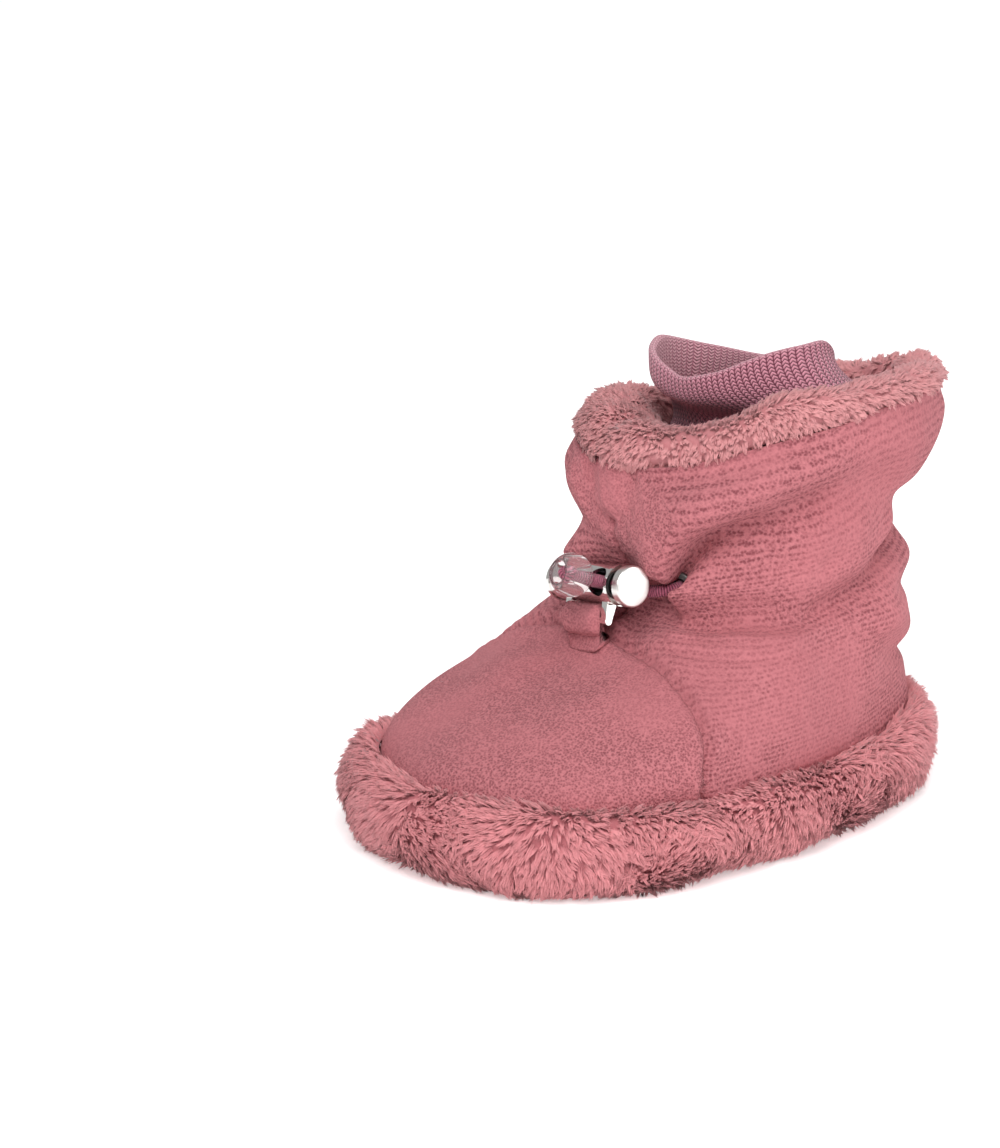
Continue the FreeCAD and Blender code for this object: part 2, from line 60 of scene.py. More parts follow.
def unit(vectors: np.ndarray) -> np.ndarray:
    """Vectors divided by their lengths.

    Args:
        vectors: an array whose last axis is x, y, z.

    Returns:
        The same array with every vector of length one.
    """
    return vectors / np.maximum(np.linalg.norm(vectors, axis=-1, keepdims=True), 1e-9)


def smoothstep(low: float, high: float, value: np.ndarray) -> np.ndarray:
    """Zero below low, one above high and 3t^2 - 2t^3 between them.

    Args:
        low: where the step starts.
        high: where the step ends.
        value: the values to step.

    Returns:
        The stepped values.
    """
    t = np.clip((value - low) / (high - low), 0.0, 1.0)
    return t * t * (3.0 - 2.0 * t)


def waves(points: np.ndarray, length: float, seed: int, count: int = 24) -> np.ndarray:
    """Smooth unevenness: a sum of sine waves in random directions, divided by the root of half their number.

    Args:
        points: places, with x, y, z on the last axis.
        length: the mean wavelength, in the points' unit.
        seed: picks the directions and phases.
        count: how many waves are summed.

    Returns:
        One value per place, mostly between -2 and 2.
    """
    rng = np.random.default_rng(seed)
    directions = unit(rng.normal(size=(count, 3)))
    directions = directions * (2 * math.pi / (length * rng.uniform(0.6, 1.7, (count, 1))))
    phases = rng.uniform(0, 2 * math.pi, count)
    return np.sin(points @ directions.T + phases).sum(axis=-1) / math.sqrt(count / 2)


def eased(grid: np.ndarray, times: int = 2) -> np.ndarray:
    """A grid averaged with its neighbours, with weights 1, 2 and 1 along each axis, which keeps its border.

    Args:
        grid: rows by columns, with any further axes.
        times: how often.

    Returns:
        The smoothed grid.
    """
    for _ in range(times):
        for axis in (0, 1):
            grid = np.moveaxis(grid, axis, 0)
            grid = np.concatenate([grid[:1], (grid[:-2] + 2 * grid[1:-1] + grid[2:]) / 4, grid[-1:]])
            grid = np.moveaxis(grid, 0, axis)
    return grid


def grid_quads(rows: int, columns: int, wrap: bool = False) -> np.ndarray:
    """Corner numbers of the squares of a grid of points stored row by row.

    Args:
        rows: how many rows of points there are.
        columns: how many points each row has.
        wrap: whether the last column joins the first.

    Returns:
        An array of four corner numbers per square.
    """
    across = columns if wrap else columns - 1
    r, c = np.meshgrid(np.arange(rows - 1), np.arange(across), indexing="ij")
    d = (c + 1) % columns
    here, above = r * columns, (r + 1) * columns
    return np.stack([here + c, here + d, above + d, above + c], -1).reshape(-1, 4)


def new_mesh(
    name: str,
    points: np.ndarray,
    faces: list[np.ndarray],
    body: str,
    uv: np.ndarray | None = None,
    shade: np.ndarray | None = None,
    smooth: bool = True,
    facing: np.ndarray | None = None,
) -> bpy.types.Object:
    """Makes a mesh object at the origin from arrays, in millimetres.

    Args:
        name: the piece's name.
        points: places, one row each.
        faces: arrays of corner numbers, each with its own number of corners per face.
        body: the CAD body that the piece rides on.
        uv: texture coordinates, one row per place.
        shade: a value per place, stored as the attribute "shade"; the plush finishes paint low values as
            shade towards the roots.
        smooth: whether the faces are shaded smooth.
        facing: shading normals, one row per place, if they differ from the faces' own.

    Returns:
        The new object, linked into the scene.
    """
    mesh = bpy.data.meshes.new(name)
    mesh.vertices.add(len(points))
    places = np.asarray(points, float).reshape(-1, 3) * MM
    mesh.vertices.foreach_set("co", places.astype(np.float32).ravel())
    corners = np.concatenate([f.ravel() for f in faces]).astype(np.int32)
    sizes = np.concatenate([np.full(len(f), f.shape[1]) for f in faces])
    starts = np.concatenate([[0], np.cumsum(sizes)[:-1]]).astype(np.int32)
    mesh.loops.add(len(corners))
    mesh.loops.foreach_set("vertex_index", corners)
    mesh.polygons.add(len(sizes))
    mesh.polygons.foreach_set("loop_start", starts)
    mesh.polygons.foreach_set("use_smooth", np.full(len(sizes), smooth))
    if uv is not None:
        layer = mesh.uv_layers.new(name="UVMap")
        layer.data.foreach_set("uv", np.asarray(uv, np.float32)[corners].ravel())
    if shade is not None:
        attribute = mesh.attributes.new("shade", "FLOAT", "POINT")
        attribute.data.foreach_set("value", np.asarray(shade, np.float32).ravel())
    mesh.update(calc_edges=True)
    mesh.validate()
    if facing is not None:
        mesh.normals_split_custom_set_from_vertices(facing.tolist())
    piece = bpy.data.objects.new(name, mesh)
    bpy.context.scene.collection.objects.link(piece)
    if body:
        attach(piece, body)
    return piece


def smooth_route(points: list[tuple[float, float, float]], step: float, closed: bool = False) -> np.ndarray:
    """Evenly spaced places on the NURBS curve of order 3 that has the given control points.

    Args:
        points: control points in millimetres.
        step: the distance between places, in millimetres.
        closed: whether the curve is a loop.

    Returns:
        The places, one row each.
    """
    curve = bpy.data.curves.new("route", "CURVE")
    curve.dimensions = "3D"
    spline = curve.splines.new("NURBS")
    spline.points.add(len(points) - 1)
    weighted = np.concatenate([np.asarray(points, float), np.ones((len(points), 1))], 1)
    spline.points.foreach_set("co", weighted.ravel())
    spline.use_cyclic_u = closed
    spline.order_u = 3
    spline.use_endpoint_u = not closed
    spline.resolution_u = 24
    holder = bpy.data.objects.new("route", curve)
    mesh = bpy.data.meshes.new_from_object(holder)
    line = np.zeros(len(mesh.vertices) * 3)
    mesh.vertices.foreach_get("co", line)
    line = line.reshape(-1, 3)
    bpy.data.objects.remove(holder)
    bpy.data.curves.remove(curve)
    bpy.data.meshes.remove(mesh)
    if closed:
        line = np.concatenate([line, line[:1]])
    along = np.concatenate([[0], np.cumsum(np.linalg.norm(np.diff(line, axis=0), axis=1))])
    count = max(int(along[-1] / step), 4) + 1
    wanted = np.linspace(0, along[-1], count)
    even = np.stack([np.interp(wanted, along, line[:, k]) for k in range(3)], 1)
    return even[:-1] if closed else even


# ------------------------------------------------------------------ shaders


Colour = tuple[float, float, float]


class Value:
    """A shader number or colour that can be added, multiplied and compared."""

    def __init__(self, tree: bpy.types.NodeTree, socket: bpy.types.NodeSocket) -> None:
        """Keeps the tree and the output socket."""
        self.tree = tree
        self.socket = socket

    def math(self, operation: str, *others: "Value | float") -> "Value":
        """Adds a Math node.

        Args:
            operation: the node's operation.
            *others: its second and third inputs.

        Returns:
            The node's result.
        """
        node = self.tree.nodes.new("ShaderNodeMath")
        node.operation = operation
        for slot, item in zip(node.inputs, (self, *others)):
            if isinstance(item, Value):
                self.tree.links.new(item.socket, slot)
            else:
                slot.default_value = item
        return Value(self.tree, node.outputs[0])

    def __add__(self, other: "Value | float") -> "Value":
        """The sum."""
        return self.math("ADD", other)

    __radd__ = __add__

    def __mul__(self, other: "Value | float") -> "Value":
        """The product."""
        return self.math("MULTIPLY", other)

    __rmul__ = __mul__

    def __sub__(self, other: "Value | float") -> "Value":
        """The difference."""
        return self.math("SUBTRACT", other)

    def __rsub__(self, other: float) -> "Value":
        """A number minus this value."""
        return (self * -1.0) + other

    def __pow__(self, other: float) -> "Value":
        """The power."""
        return self.math("POWER", other)

    def sine(self) -> "Value":
        """The sine, in radians."""
        return self.math("SINE")

    def size(self) -> "Value":
        """The value without its sign."""
        return self.math("ABSOLUTE")

    def fraction(self) -> "Value":
        """What is left after the whole number."""
        return self.math("FRACT")

    def step(self, low: float, high: float) -> "Value":
        """Zero below low, one above high and smooth between them."""
        node = self.tree.nodes.new("ShaderNodeMapRange")
        node.interpolation_type = "SMOOTHSTEP"
        self.tree.links.new(self.socket, node.inputs["Value"])
        node.inputs["From Min"].default_value = low
        node.inputs["From Max"].default_value = high
        return Value(self.tree, node.outputs["Result"])


class Finish:
    """A procedural material being put together round one Principled shader."""

    def __init__(self, name: str, **uniform: float | tuple[float, ...]) -> None:
        """Makes the material.

        Args:
            name: the material's name.
            **uniform: Principled sockets that are the same all over, with underscores for spaces.
        """
        self.material = bpy.data.materials.new(name)
        self.material.use_nodes = True
        self.tree = self.material.node_tree
        self.tree.nodes.clear()
        output = self.tree.nodes.new("ShaderNodeOutputMaterial")
        self.shader = self.tree.nodes.new("ShaderNodeBsdfPrincipled")
        self.tree.links.new(self.shader.outputs[0], output.inputs[0])
        for key, value in uniform.items():
            self.shader.inputs[key.replace("_", " ")].default_value = value

    def node(self, kind: str, settings: dict, output: str | int = 0, **inputs: object) -> Value:
        """Adds any other node: its type, then its settings, then its sockets.

        Args:
            kind: the node's type.
            settings: its properties.
            output: which output is wanted.
            **inputs: its sockets by name, with underscores for spaces.

        Returns:
            The wanted output.
        """
        made = self.tree.nodes.new(kind)
        for key, value in settings.items():
            setattr(made, key, value)
        for key, value in inputs.items():
            slot = made.inputs[int(key[1:])] if key[0] == "_" else made.inputs[key.replace("_", " ")]
            if isinstance(value, Value):
                self.tree.links.new(value.socket, slot)
            else:
                slot.default_value = value
        return Value(self.tree, made.outputs[output])

    def place(self) -> Value:
        """The place on the object, in metres."""
        return self.node("ShaderNodeTexCoord", {}, "Object")

    def along(self) -> tuple[Value, Value]:
        """The piece's own two surface coordinates, in millimetres."""
        uv = self.node("ShaderNodeUVMap", {"uv_map": "UVMap"})
        return (
            self.node("ShaderNodeSeparateXYZ", {}, 0, Vector=uv),
            self.node("ShaderNodeSeparateXYZ", {}, 1, Vector=uv),
        )

    def noise(self, vector: Value, scale: float, detail: float = 2.0, rough: float = 0.5) -> Value:
        """Cloudy noise between 0 and 1."""
        sizes = {"Scale": scale, "Detail": detail, "Roughness": rough}
        return self.node("ShaderNodeTexNoise", {}, "Fac", Vector=vector, **sizes)

    def cells(self, vector: Value, scale: float) -> Value:
        """The distance from the nearest of many scattered places, in parts of their spacing."""
        sizes = {"Scale": scale, "Randomness": 1.0}
        return self.node("ShaderNodeTexVoronoi", {"feature": "F1"}, "Distance", Vector=vector, **sizes)

    def attribute(self, name: str) -> Value:
        """A value stored on the mesh."""
        return self.node("ShaderNodeAttribute", {"attribute_name": name}, "Fac")

    def blend(self, low: Colour | Value, high: Colour | Value, factor: Value) -> Value:
        """A colour between two colours.

        Args:
            low: the colour at factor 0, as three numbers or an earlier colour.
            high: the colour at factor 1, likewise.
            factor: how far to go.

        Returns:
            The mixed colour.
        """
        made = self.tree.nodes.new("ShaderNodeMix")
        made.data_type = "RGBA"
        self.tree.links.new(factor.socket, made.inputs[0])
        for slot, item in ((made.inputs[6], low), (made.inputs[7], high)):
            if isinstance(item, Value):
                self.tree.links.new(item.socket, slot)
            else:
                slot.default_value = (*item, 1.0)
        return Value(self.tree, made.outputs[2])

    def paint(self, socket: str, value: Value) -> None:
        """Links a value to a Principled socket."""
        self.tree.links.new(value.socket, self.shader.inputs[socket])

    def bump(self, height: Value, distance: float, strength: float = 1.0) -> None:
        """Raises the surface by a height between 0 and 1 times a distance in millimetres."""
        made = self.tree.nodes.new("ShaderNodeBump")
        made.inputs["Strength"].default_value = strength
        made.inputs["Distance"].default_value = distance * MM
        self.tree.links.new(height.socket, made.inputs["Height"])
        self.tree.links.new(made.outputs[0], self.shader.inputs["Normal"])

    def dress(self, *pieces: bpy.types.Object) -> None:
        """Puts the material on pieces as their only one."""
        for piece in pieces:
            if piece.material_slots:
                for held in piece.material_slots:
                    held.material = self.material
            else:
                piece.data.materials.append(self.material)


@dataclass(frozen=True)
class Rose:
    """The bootie's colours, as linear red, green and blue."""

    velour_tip: Colour = (0.55, 0.192, 0.212)
    # painted shade: the colour of the velour's pits, where shade falls between the pile's clumps
    velour_pit_shade: Colour = (0.25, 0.068, 0.082)
    plush_tip: Colour = (0.74, 0.288, 0.304)
    # painted shade: the colour at the plush's roots, where shade falls between the strands
    plush_root_shade: Colour = (0.38, 0.110, 0.127)
    collar_tip: Colour = (0.69, 0.305, 0.312)
    # painted shade: the colour at the collar pile's roots, where shade falls between the strands
    collar_root_shade: Colour = (0.42, 0.155, 0.168)
    knit_high: Colour = (0.62, 0.265, 0.335)
    # painted shade: the colour of the gaps between the knit's threads
    knit_gap_shade: Colour = (0.15, 0.035, 0.06)
    knit_inside: Colour = (0.72, 0.40, 0.45)
    cord_high: Colour = (0.46, 0.12, 0.19)
    # painted shade: the colour of the grooves between the cord's ribs
    cord_groove_shade: Colour = (0.13, 0.02, 0.045)
    sole: Colour = (0.34, 0.11, 0.13)


ROSE = Rose()


class Nap(Enum):
    """How the velour's pile lies on a panel."""

    PEBBLED = "pebbled"
    ROWS = "rows"


# Millimetres between the velour's rows, the knit's columns, the knit's courses and the cord's ribs.
ROW_PITCH = 1.15
WALE, COURSE = 1.1, 0.92
RIB = 0.42


def velour(name: str, nap: Nap) -> Finish:
    """Short cut pile: fine pits painted darker as shade between paler clumps, fainter in soft patches where
    it has been brushed. In rows, a sine wave up the cloth makes the pits deeper, and their painted shade
    darker, in its troughs.

    Args:
        name: the material's name.
        nap: pebbled for the toe, or rows for the knitted backing showing through.

    Returns:
        The finish.
    """
    sheen = {"Sheen_Weight": 0.12, "Sheen_Roughness": 0.5, "Sheen_Tint": (1.0, 0.62, 0.66, 1.0)}
    finish = Finish(name, Roughness=0.85, Specular_IOR_Level=0.08, **sheen)
    place = finish.place()
    fine = finish.noise(place, 2400.0, 3.0, 0.7)
    brushed = finish.noise(place, 42.0, 2.0, 0.5).step(0.36, 0.60)
    patches = finish.noise(place, 38.0, 2.0, 0.5)
    scale = 1500.0 if nap is Nap.ROWS else 2100.0
    pits = 1.0 - finish.cells(place, scale).step(0.10, 0.80)
    if nap is Nap.ROWS:
        v = finish.along()[1]
        rows = (v * (2 * math.pi / ROW_PITCH) + (patches - 0.5) * 2.2).sine() * 0.5 + 0.5
        pits = pits * (1.2 - rows * 0.65) + (1.0 - rows) * 0.22
    contrast = brushed * 0.6 + 0.4
    height = 0.74 + ((fine - 0.5) * 0.95 - pits * 0.52) * contrast - (1.0 - brushed) * 0.10
    # the tone follows the height, so the pits are painted darker as shade, mixed with random patches
    shade_and_tone = (height + (patches - 0.5) * 0.3).step(0.05, 0.88)
    finish.paint("Base Color", finish.blend(ROSE.velour_pit_shade, ROSE.velour_tip, shade_and_tone))
    finish.bump(height, 0.55, 0.8)
    return finish


def plush(name: str, root: Colour, tip: Colour) -> Finish:
    """Long pile: each tuft runs from a root painted dark as shade to a pale tip, and tufts differ a little at
    random.

    Args:
        name: the material's name.
        root: the colour at the roots, which is painted shade.
        tip: the colour at the tips.

    Returns:
        The finish.
    """
    sheen = {"Sheen_Weight": 0.3, "Sheen_Roughness": 0.4, "Sheen_Tint": (1.0, 0.75, 0.76, 1.0)}
    finish = Finish(name, Roughness=0.8, Specular_IOR_Level=0.2, **sheen)
    place = finish.place()
    shade = finish.attribute("shade")
    patches = finish.noise(place, 70.0, 2.0, 0.5)
    fine = finish.noise(place, 2200.0, 1.0, 0.5)
    # the shade value paints each strand darker towards its root as shade, mixed with random patches
    shade_and_tone = (shade * 0.75 + patches * 0.3 + fine * 0.15 - 0.12).step(-0.1, 0.9)
    finish.paint("Base Color", finish.blend(root, tip, shade_and_tone))
    finish.bump(fine, 0.15, 0.6)
    return finish


def knit(name: str) -> Finish:
    """Jersey: columns of V-shaped stitches. A stitch's two legs lean by a sawtooth, and each is a rounded
    thread; the gaps between threads are painted dark as shade. The inside of the cuff, which is further up
    the cloth, is paler.

    Args:
        name: the material's name.

    Returns:
        The finish.
    """
    finish = Finish(name, Roughness=0.75, Sheen_Weight=0.2, Sheen_Roughness=0.4, Specular_IOR_Level=0.2)
    u, v = finish.along()
    leg = ((u * (1 / WALE)).fraction() - 0.5).size() * 2.0
    course = (v * (1 / COURSE) + leg * 0.75).fraction() - 0.5
    thread = 1.0 - (course * 2.0).size() ** 2.0
    side = 1.0 - leg**3.0
    height = thread * side
    fuzz = finish.noise(finish.place(), 1800.0, 2.0, 0.6)
    # low stitch edges and the gaps between threads are painted dark as shade; the fuzz adds random tone
    shade_and_tone = (height * 0.85 + fuzz * 0.2).step(0.20, 0.62)
    inside = v.step(28.5, 31.5)
    outer = finish.blend(ROSE.knit_gap_shade, ROSE.knit_high, shade_and_tone)
    inner = finish.blend(ROSE.knit_high, ROSE.knit_inside, shade_and_tone)
    finish.paint("Base Color", finish.blend(outer, inner, inside * 0.75))
    finish.bump(height * 0.85 + fuzz * 0.15, 0.4, 0.9)
    return finish


def ribbed_cord(name: str) -> Finish:
    """Elastic cord: round ribs across it, each crossed by fine slanting threads, with painted shade in the
    grooves between the ribs.

    Args:
        name: the material's name.

    Returns:
        The finish.
    """
    finish = Finish(name, Roughness=0.55, Sheen_Weight=0.15, Specular_IOR_Level=0.3)
    u, v = finish.along()
    ribs = (v * (2 * math.pi / RIB)).sine() * 0.5 + 0.5
    threads = ((u * 6.0 + v * 0.8) * (2 * math.pi)).sine() * 0.5 + 0.5
    # the grooves between the ribs are painted dark as shade; the slanting threads add a finer stripe
    shade_and_tone = (ribs * 0.75 + threads * 0.25).step(0.05, 0.9)
    finish.paint("Base Color", finish.blend(ROSE.cord_groove_shade, ROSE.cord_high, shade_and_tone))
    finish.bump(ribs * 0.8 + threads * 0.2, 0.25, 0.8)
    return finish


def nickel(name: str, rough: float = 0.09, pale: float = 1.0) -> Finish:
    """Polished nickel plate with faint handling marks in its gloss.

    Args:
        name: the material's name.
        rough: its mean roughness.
        pale: how pale it is, where 1 is bright and less is darker.

    Returns:
        The finish.
    """
    finish = Finish(name, Metallic=1.0)
    place = finish.place()
    marks = finish.noise(place, 900.0, 3.0, 0.6)
    finish.paint("Roughness", marks * 0.08 + (rough - 0.02))
    dark, light = (0.74 * pale, 0.71 * pale, 0.69 * pale), (0.86 * pale, 0.84 * pale, 0.82 * pale)
    finish.paint("Base Color", finish.blend(dark, light, marks))
    return finish


def plunger_finish(name: str) -> Finish:
    """A polished cap on a dull black stem: the place along the barrel's axis picks one or the other.

    Args:
        name: the material's name.

    Returns:
        The finish.
    """
    finish = Finish(name)
    place = finish.place()
    parts = [finish.node("ShaderNodeSeparateXYZ", {}, k, Vector=place) for k in range(3)]
    along = parts[0] * float(LockFrame.X[0]) + parts[2] * float(LockFrame.X[2])
    start = float(LockFrame.CENTRE @ LockFrame.X + 5.0) * MM
    cap = (along - start).math("GREATER_THAN", 0.0)
    marks = finish.noise(place, 900.0, 3.0, 0.6)
    finish.paint("Metallic", cap)
    finish.paint("Roughness", (marks * 0.08 + 0.07) * cap + (1.0 - cap) * 0.5)
    finish.paint("Base Color", finish.blend((0.02, 0.02, 0.022), (0.80, 0.78, 0.77), cap))
    return finish


def clear_plastic(name: str) -> Finish:
    """Clear moulded plastic.

    Args:
        name: the material's name.

    Returns:
        The finish.
    """
    finish = Finish(name, Base_Color=(0.97, 0.90, 0.91, 1.0), Transmission_Weight=0.96, IOR=1.30)
    marks = finish.noise(finish.place(), 500.0, 2.0, 0.5)
    finish.paint("Roughness", marks * 0.06 + 0.01)
    return finish


def cloth(name: str, colour: Colour, scale: float = 900.0) -> Finish:
    """Plain dense cloth with a fine grain.

    Args:
        name: the material's name.
        colour: its lighter colour.
        scale: how fine the grain is, per metre.

    Returns:
        The finish.
    """
    finish = Finish(name, Roughness=0.85, Sheen_Weight=0.2, Specular_IOR_Level=0.2)
    grain = finish.noise(finish.place(), scale, 3.0, 0.6)
    dark = tuple(c * 0.6 for c in colour)
    finish.paint("Base Color", finish.blend(dark, colour, grain.step(0.3, 0.7)))
    finish.bump(grain, 0.2, 0.7)
    return finish


# ------------------------------------------------------------------ the bootie's form


@dataclass(frozen=True)
class Fold:
    """A crease across the cloth, along a path of places given as angle and level."""

    path: tuple[tuple[float, float], ...]
    depth: float
    end_depth: float
    width: float
    lip: float = 0.5


class Form:
    """The bootie's outer surface. A place on it has a level, from 0 at the sole to TOP at the top of the
    shaft, and an angle, 0 at the front centre, pi at the back centre and positive on the +X side. The sizes
    are the CAD part's. AROUND and RISE are the rough millimetres to a radian and to a level of the shaft."""

    LENGTH, WIDTH, HEIGHT = 132.0, 86.0, 80.0
    AROUND, RISE = 27.0, 6.6
    STATIONS = np.array(
        [
            (0.030, -0.428, 0.433, -0.152, 0.398, 0.16, 2.20, 2.40, 0.00),
            (0.120, -0.437, 0.436, -0.152, 0.412, 0.16, 2.25, 2.40, 0.00),
            (0.215, -0.433, 0.438, -0.150, 0.416, 0.14, 2.20, 2.30, 0.00),
            (0.285, -0.378, 0.436, -0.114, 0.412, 0.12, 2.05, 2.20, 0.00),
            (0.355, -0.286, 0.434, -0.060, 0.400, 0.10, 1.90, 2.20, 0.00),
            (0.430, -0.195, 0.428, 0.000, 0.384, 0.07, 1.78, 2.20, 0.02),
            (0.505, -0.118, 0.416, 0.060, 0.360, 0.03, 1.74, 2.20, 0.06),
            (0.580, -0.062, 0.398, 0.120, 0.332, 0.00, 1.78, 2.20, 0.13),
            (0.650, -0.045, 0.380, 0.150, 0.316, 0.00, 1.82, 2.20, 0.18),
            (0.725, -0.062, 0.402, 0.165, 0.338, 0.00, 1.78, 2.25, 0.17),
            (0.825, -0.083, 0.442, 0.175, 0.360, 0.00, 1.74, 2.30, 0.15),
            (0.925, -0.072, 0.462, 0.182, 0.362, 0.00, 1.70, 2.30, 0.12),
        ]
    )
    TOP = 11
    CINCH = 8
    SEAM_Y = -18.6
    SEAM_RISE = 0.19
    SEAM_BEND = 18.0

    FOLDS = (
        Fold(
            ((0.42, 8.3), (0.52, 8.9), (0.70, 9.4), (0.91, 9.65), (1.11, 9.8), (1.36, 9.85)),
            7.0, 3.4, 2.7, 0.7,
        ),
        Fold(((1.30, 9.85), (1.66, 9.7), (2.07, 8.9), (2.6, 8.3), (3.14, 8.0)), 2.4, 2.6, 3.2, 0.5),
        Fold(
            ((0.52, 7.0), (0.75, 6.85), (0.99, 6.92), (1.56, 6.76), (1.9, 6.8), (2.25, 7.24), (2.7, 7.3)),
            3.3, 2.8, 3.2, 0.35,
        ),
        Fold(((0.60, 6.18), (0.9, 6.15), (1.4, 6.0), (1.8, 5.75)), 0.85, 0.6, 0.8, 0.7),
        Fold(((0.60, 5.88), (0.9, 5.84), (1.4, 5.7), (1.8, 5.5)), 0.85, 0.6, 0.8, 0.7),
        Fold(((1.9, 5.5), (2.2, 4.7), (2.46, 3.9), (2.9, 3.5)), 1.0, 2.2, 2.6, 0.4),
        Fold(((2.3, 6.0), (2.8, 5.7), (3.14, 5.7)), 1.5, 2.0, 2.2, 0.4),
        Fold(((0.2, 6.4), (0.5, 5.6), (0.62, 4.9)), 0.9, 0.5, 2.4, 0.4),
        Fold(((-0.62, 7.9), (-0.8, 8.1), (-1.2, 8.7), (-2.2, 8.9), (-3.14, 8.0)), 3.0, 2.6, 2.8, 0.5),
        Fold(((-0.8, 6.9), (-1.7, 6.3), (-2.8, 5.2)), 1.5, 1.5, 2.2, 0.7),
        Fold(((-0.9, 7.3), (-1.8, 7.2), (-2.7, 7.0)), 1.5, 2.0, 2.6, 0.4),
        Fold(((-2.3, 4.6), (-2.8, 4.0), (-3.14, 3.8)), 1.0, 1.8, 2.4, 0.4),
    )
    PUFFS = (
        (0.95, 8.25, 1.8, 9.0, 4.5),
        (-0.95, 8.2, 1.4, 9.0, 4.5),
        (0.30, 9.4, 1.6, 5.0, 4.0),
        (-0.44, 8.8, 6.8, 6.0, 4.2),
        (0.62, 10.2, 1.8, 10.0, 3.6),
        (1.5, 10.3, 1.4, 12.0, 3.2),
        (2.45, 9.5, -1.6, 9.0, 3.6),
        (2.3, 5.6, 1.2, 8.0, 5.0),
    )
    EYELET = np.array([10.0, -3.5564, 47.4394])
    EYELET_OUT = np.array([0.40893, -0.91179, 0.03775])

    def __init__(self) -> None:
        """Works out the curves' slopes once."""
        lengths = [self.LENGTH] * 3
        rows = self.STATIONS * np.array([self.HEIGHT, *lengths, self.WIDTH, 1, 1, 1, 1])
        self.rows = rows
        self.slopes = np.gradient(rows, axis=0)

    def sizes(self, level: np.ndarray) -> list[np.ndarray]:
        """The station's sizes at any level, by a cubic Hermite curve through the stations.

        Args:
            level: levels of any shape.

        Returns:
            Nine arrays: height, front, back, widest, half width, narrowing, front power, back power and
            slope.
        """
        base = np.clip(np.floor(level).astype(int), 0, self.TOP - 1)
        t = (level - base)[..., None]
        p, q, m, n = self.rows[base], self.rows[base + 1], self.slopes[base], self.slopes[base + 1]
        low = (1 + 2 * t) * (1 - t) ** 2 * p + t * (1 - t) ** 2 * m
        cubic = low + t * t * (3 - 2 * t) * q + t * t * (t - 1) * n
        return list(np.moveaxis(cubic, -1, 0))

    def point(self, level: np.ndarray, angle: np.ndarray) -> np.ndarray:
        """Places on the plain form: a superellipse round the foot at each level, with its own front and back
        halves.

        Args:
            level: levels.
            angle: angles, of the same shape.

        Returns:
            Places in millimetres.
        """
        height, front, back, widest, half, narrow, front_power, back_power, slope = self.sizes(level)
        sine, cosine = np.sin(angle), np.cos(angle)
        power = np.where(cosine > 0, front_power, back_power)
        reach = np.abs(cosine) ** (2 / power)
        y = np.where(cosine > 0, widest - (widest - front) * reach, widest + (back - widest) * reach)
        narrowed = np.where(cosine < 0, 1 - narrow * reach**2, 1.0)
        x = half * np.sign(sine) * np.abs(sine) ** (2 / power) * narrowed
        z = height + slope * (y - 0.165 * self.LENGTH)
        return np.stack([x, y, z], -1)

    def normal(self, level: np.ndarray, angle: np.ndarray) -> np.ndarray:
        """Outward normals of the plain form, from small steps along it.

        Args:
            level: levels.
            angle: angles, of the same shape.

        Returns:
            Unit normals.
        """
        d = 0.02
        up = self.point(np.minimum(level + d, self.TOP), angle) - self.point(np.maximum(level - d, 0), angle)
        across = self.point(level, angle + d) - self.point(level, angle - d)
        return unit(np.cross(across, up))

    def skin(self, level: np.ndarray, angle: np.ndarray, inset: np.ndarray | float) -> np.ndarray:
        """Places inset from the form along its normal, which is level at the form's two ends.

        Args:
            level: levels.
            angle: angles, of the same shape.
            inset: how far in, negative for outside.

        Returns:
            Places in millimetres.
        """
        normal = self.normal(level, angle)
        normal[..., 2] *= np.clip(np.minimum(level, self.TOP - level) / 1.5, 0, 1)
        return self.point(level, angle) - unit(normal) * np.asarray(inset)[..., None]

    def bulge(self, level: np.ndarray) -> np.ndarray:
        """How far the drawcord pushes the lining inwards: half a cosine wave round the cinch."""
        away = np.abs(level - self.CINCH) / 1.8
        return np.where(away < 1, 4.4 * (np.cos(math.pi * np.minimum(away, 1)) + 1) / 2, 0.0)

    @staticmethod
    def lean(points: np.ndarray) -> np.ndarray:
        """How the soft shaft slumps: it leans to the -X side as it rises, its far wall sinks and closes in,
        its front swells on the -X side, and the rim rises between the front and the back.

        Args:
            points: places in millimetres.

        Returns:
            The moved places.
        """
        moved = points.copy()
        x, y, z = points[..., 0], points[..., 1] - 22.0, points[..., 2]
        high = smoothstep(52.0, 78.0, z)
        far = np.clip((-0.788 * x + 0.616 * y) / 31.0, 0, 1.3)
        moved[..., 0] += high * (-2.6 + 4.2 * far**2)
        moved[..., 1] -= high * (3.2 * far**2 - 1.6 * smoothstep(8.0, 32.0, y))
        moved[..., 2] -= high * 7.6 * smoothstep(0.1, 1.0, far)
        front = np.clip((-0.616 * x - 0.788 * y) / 31.0, 0, 1.3) ** 2
        swell = np.exp(-(((z - 67.0) / 9.0) ** 2)) * 3.6 * front
        moved[..., 0] -= 0.616 * swell
        moved[..., 1] -= 0.788 * swell
        rise = 6.2 * np.exp(-(((x - 30.0) / 14.0) ** 2)) * (1 - 0.40 * smoothstep(6.0, 30.0, y))
        moved[..., 2] += smoothstep(60.0, 78.0, z) * rise
        return moved

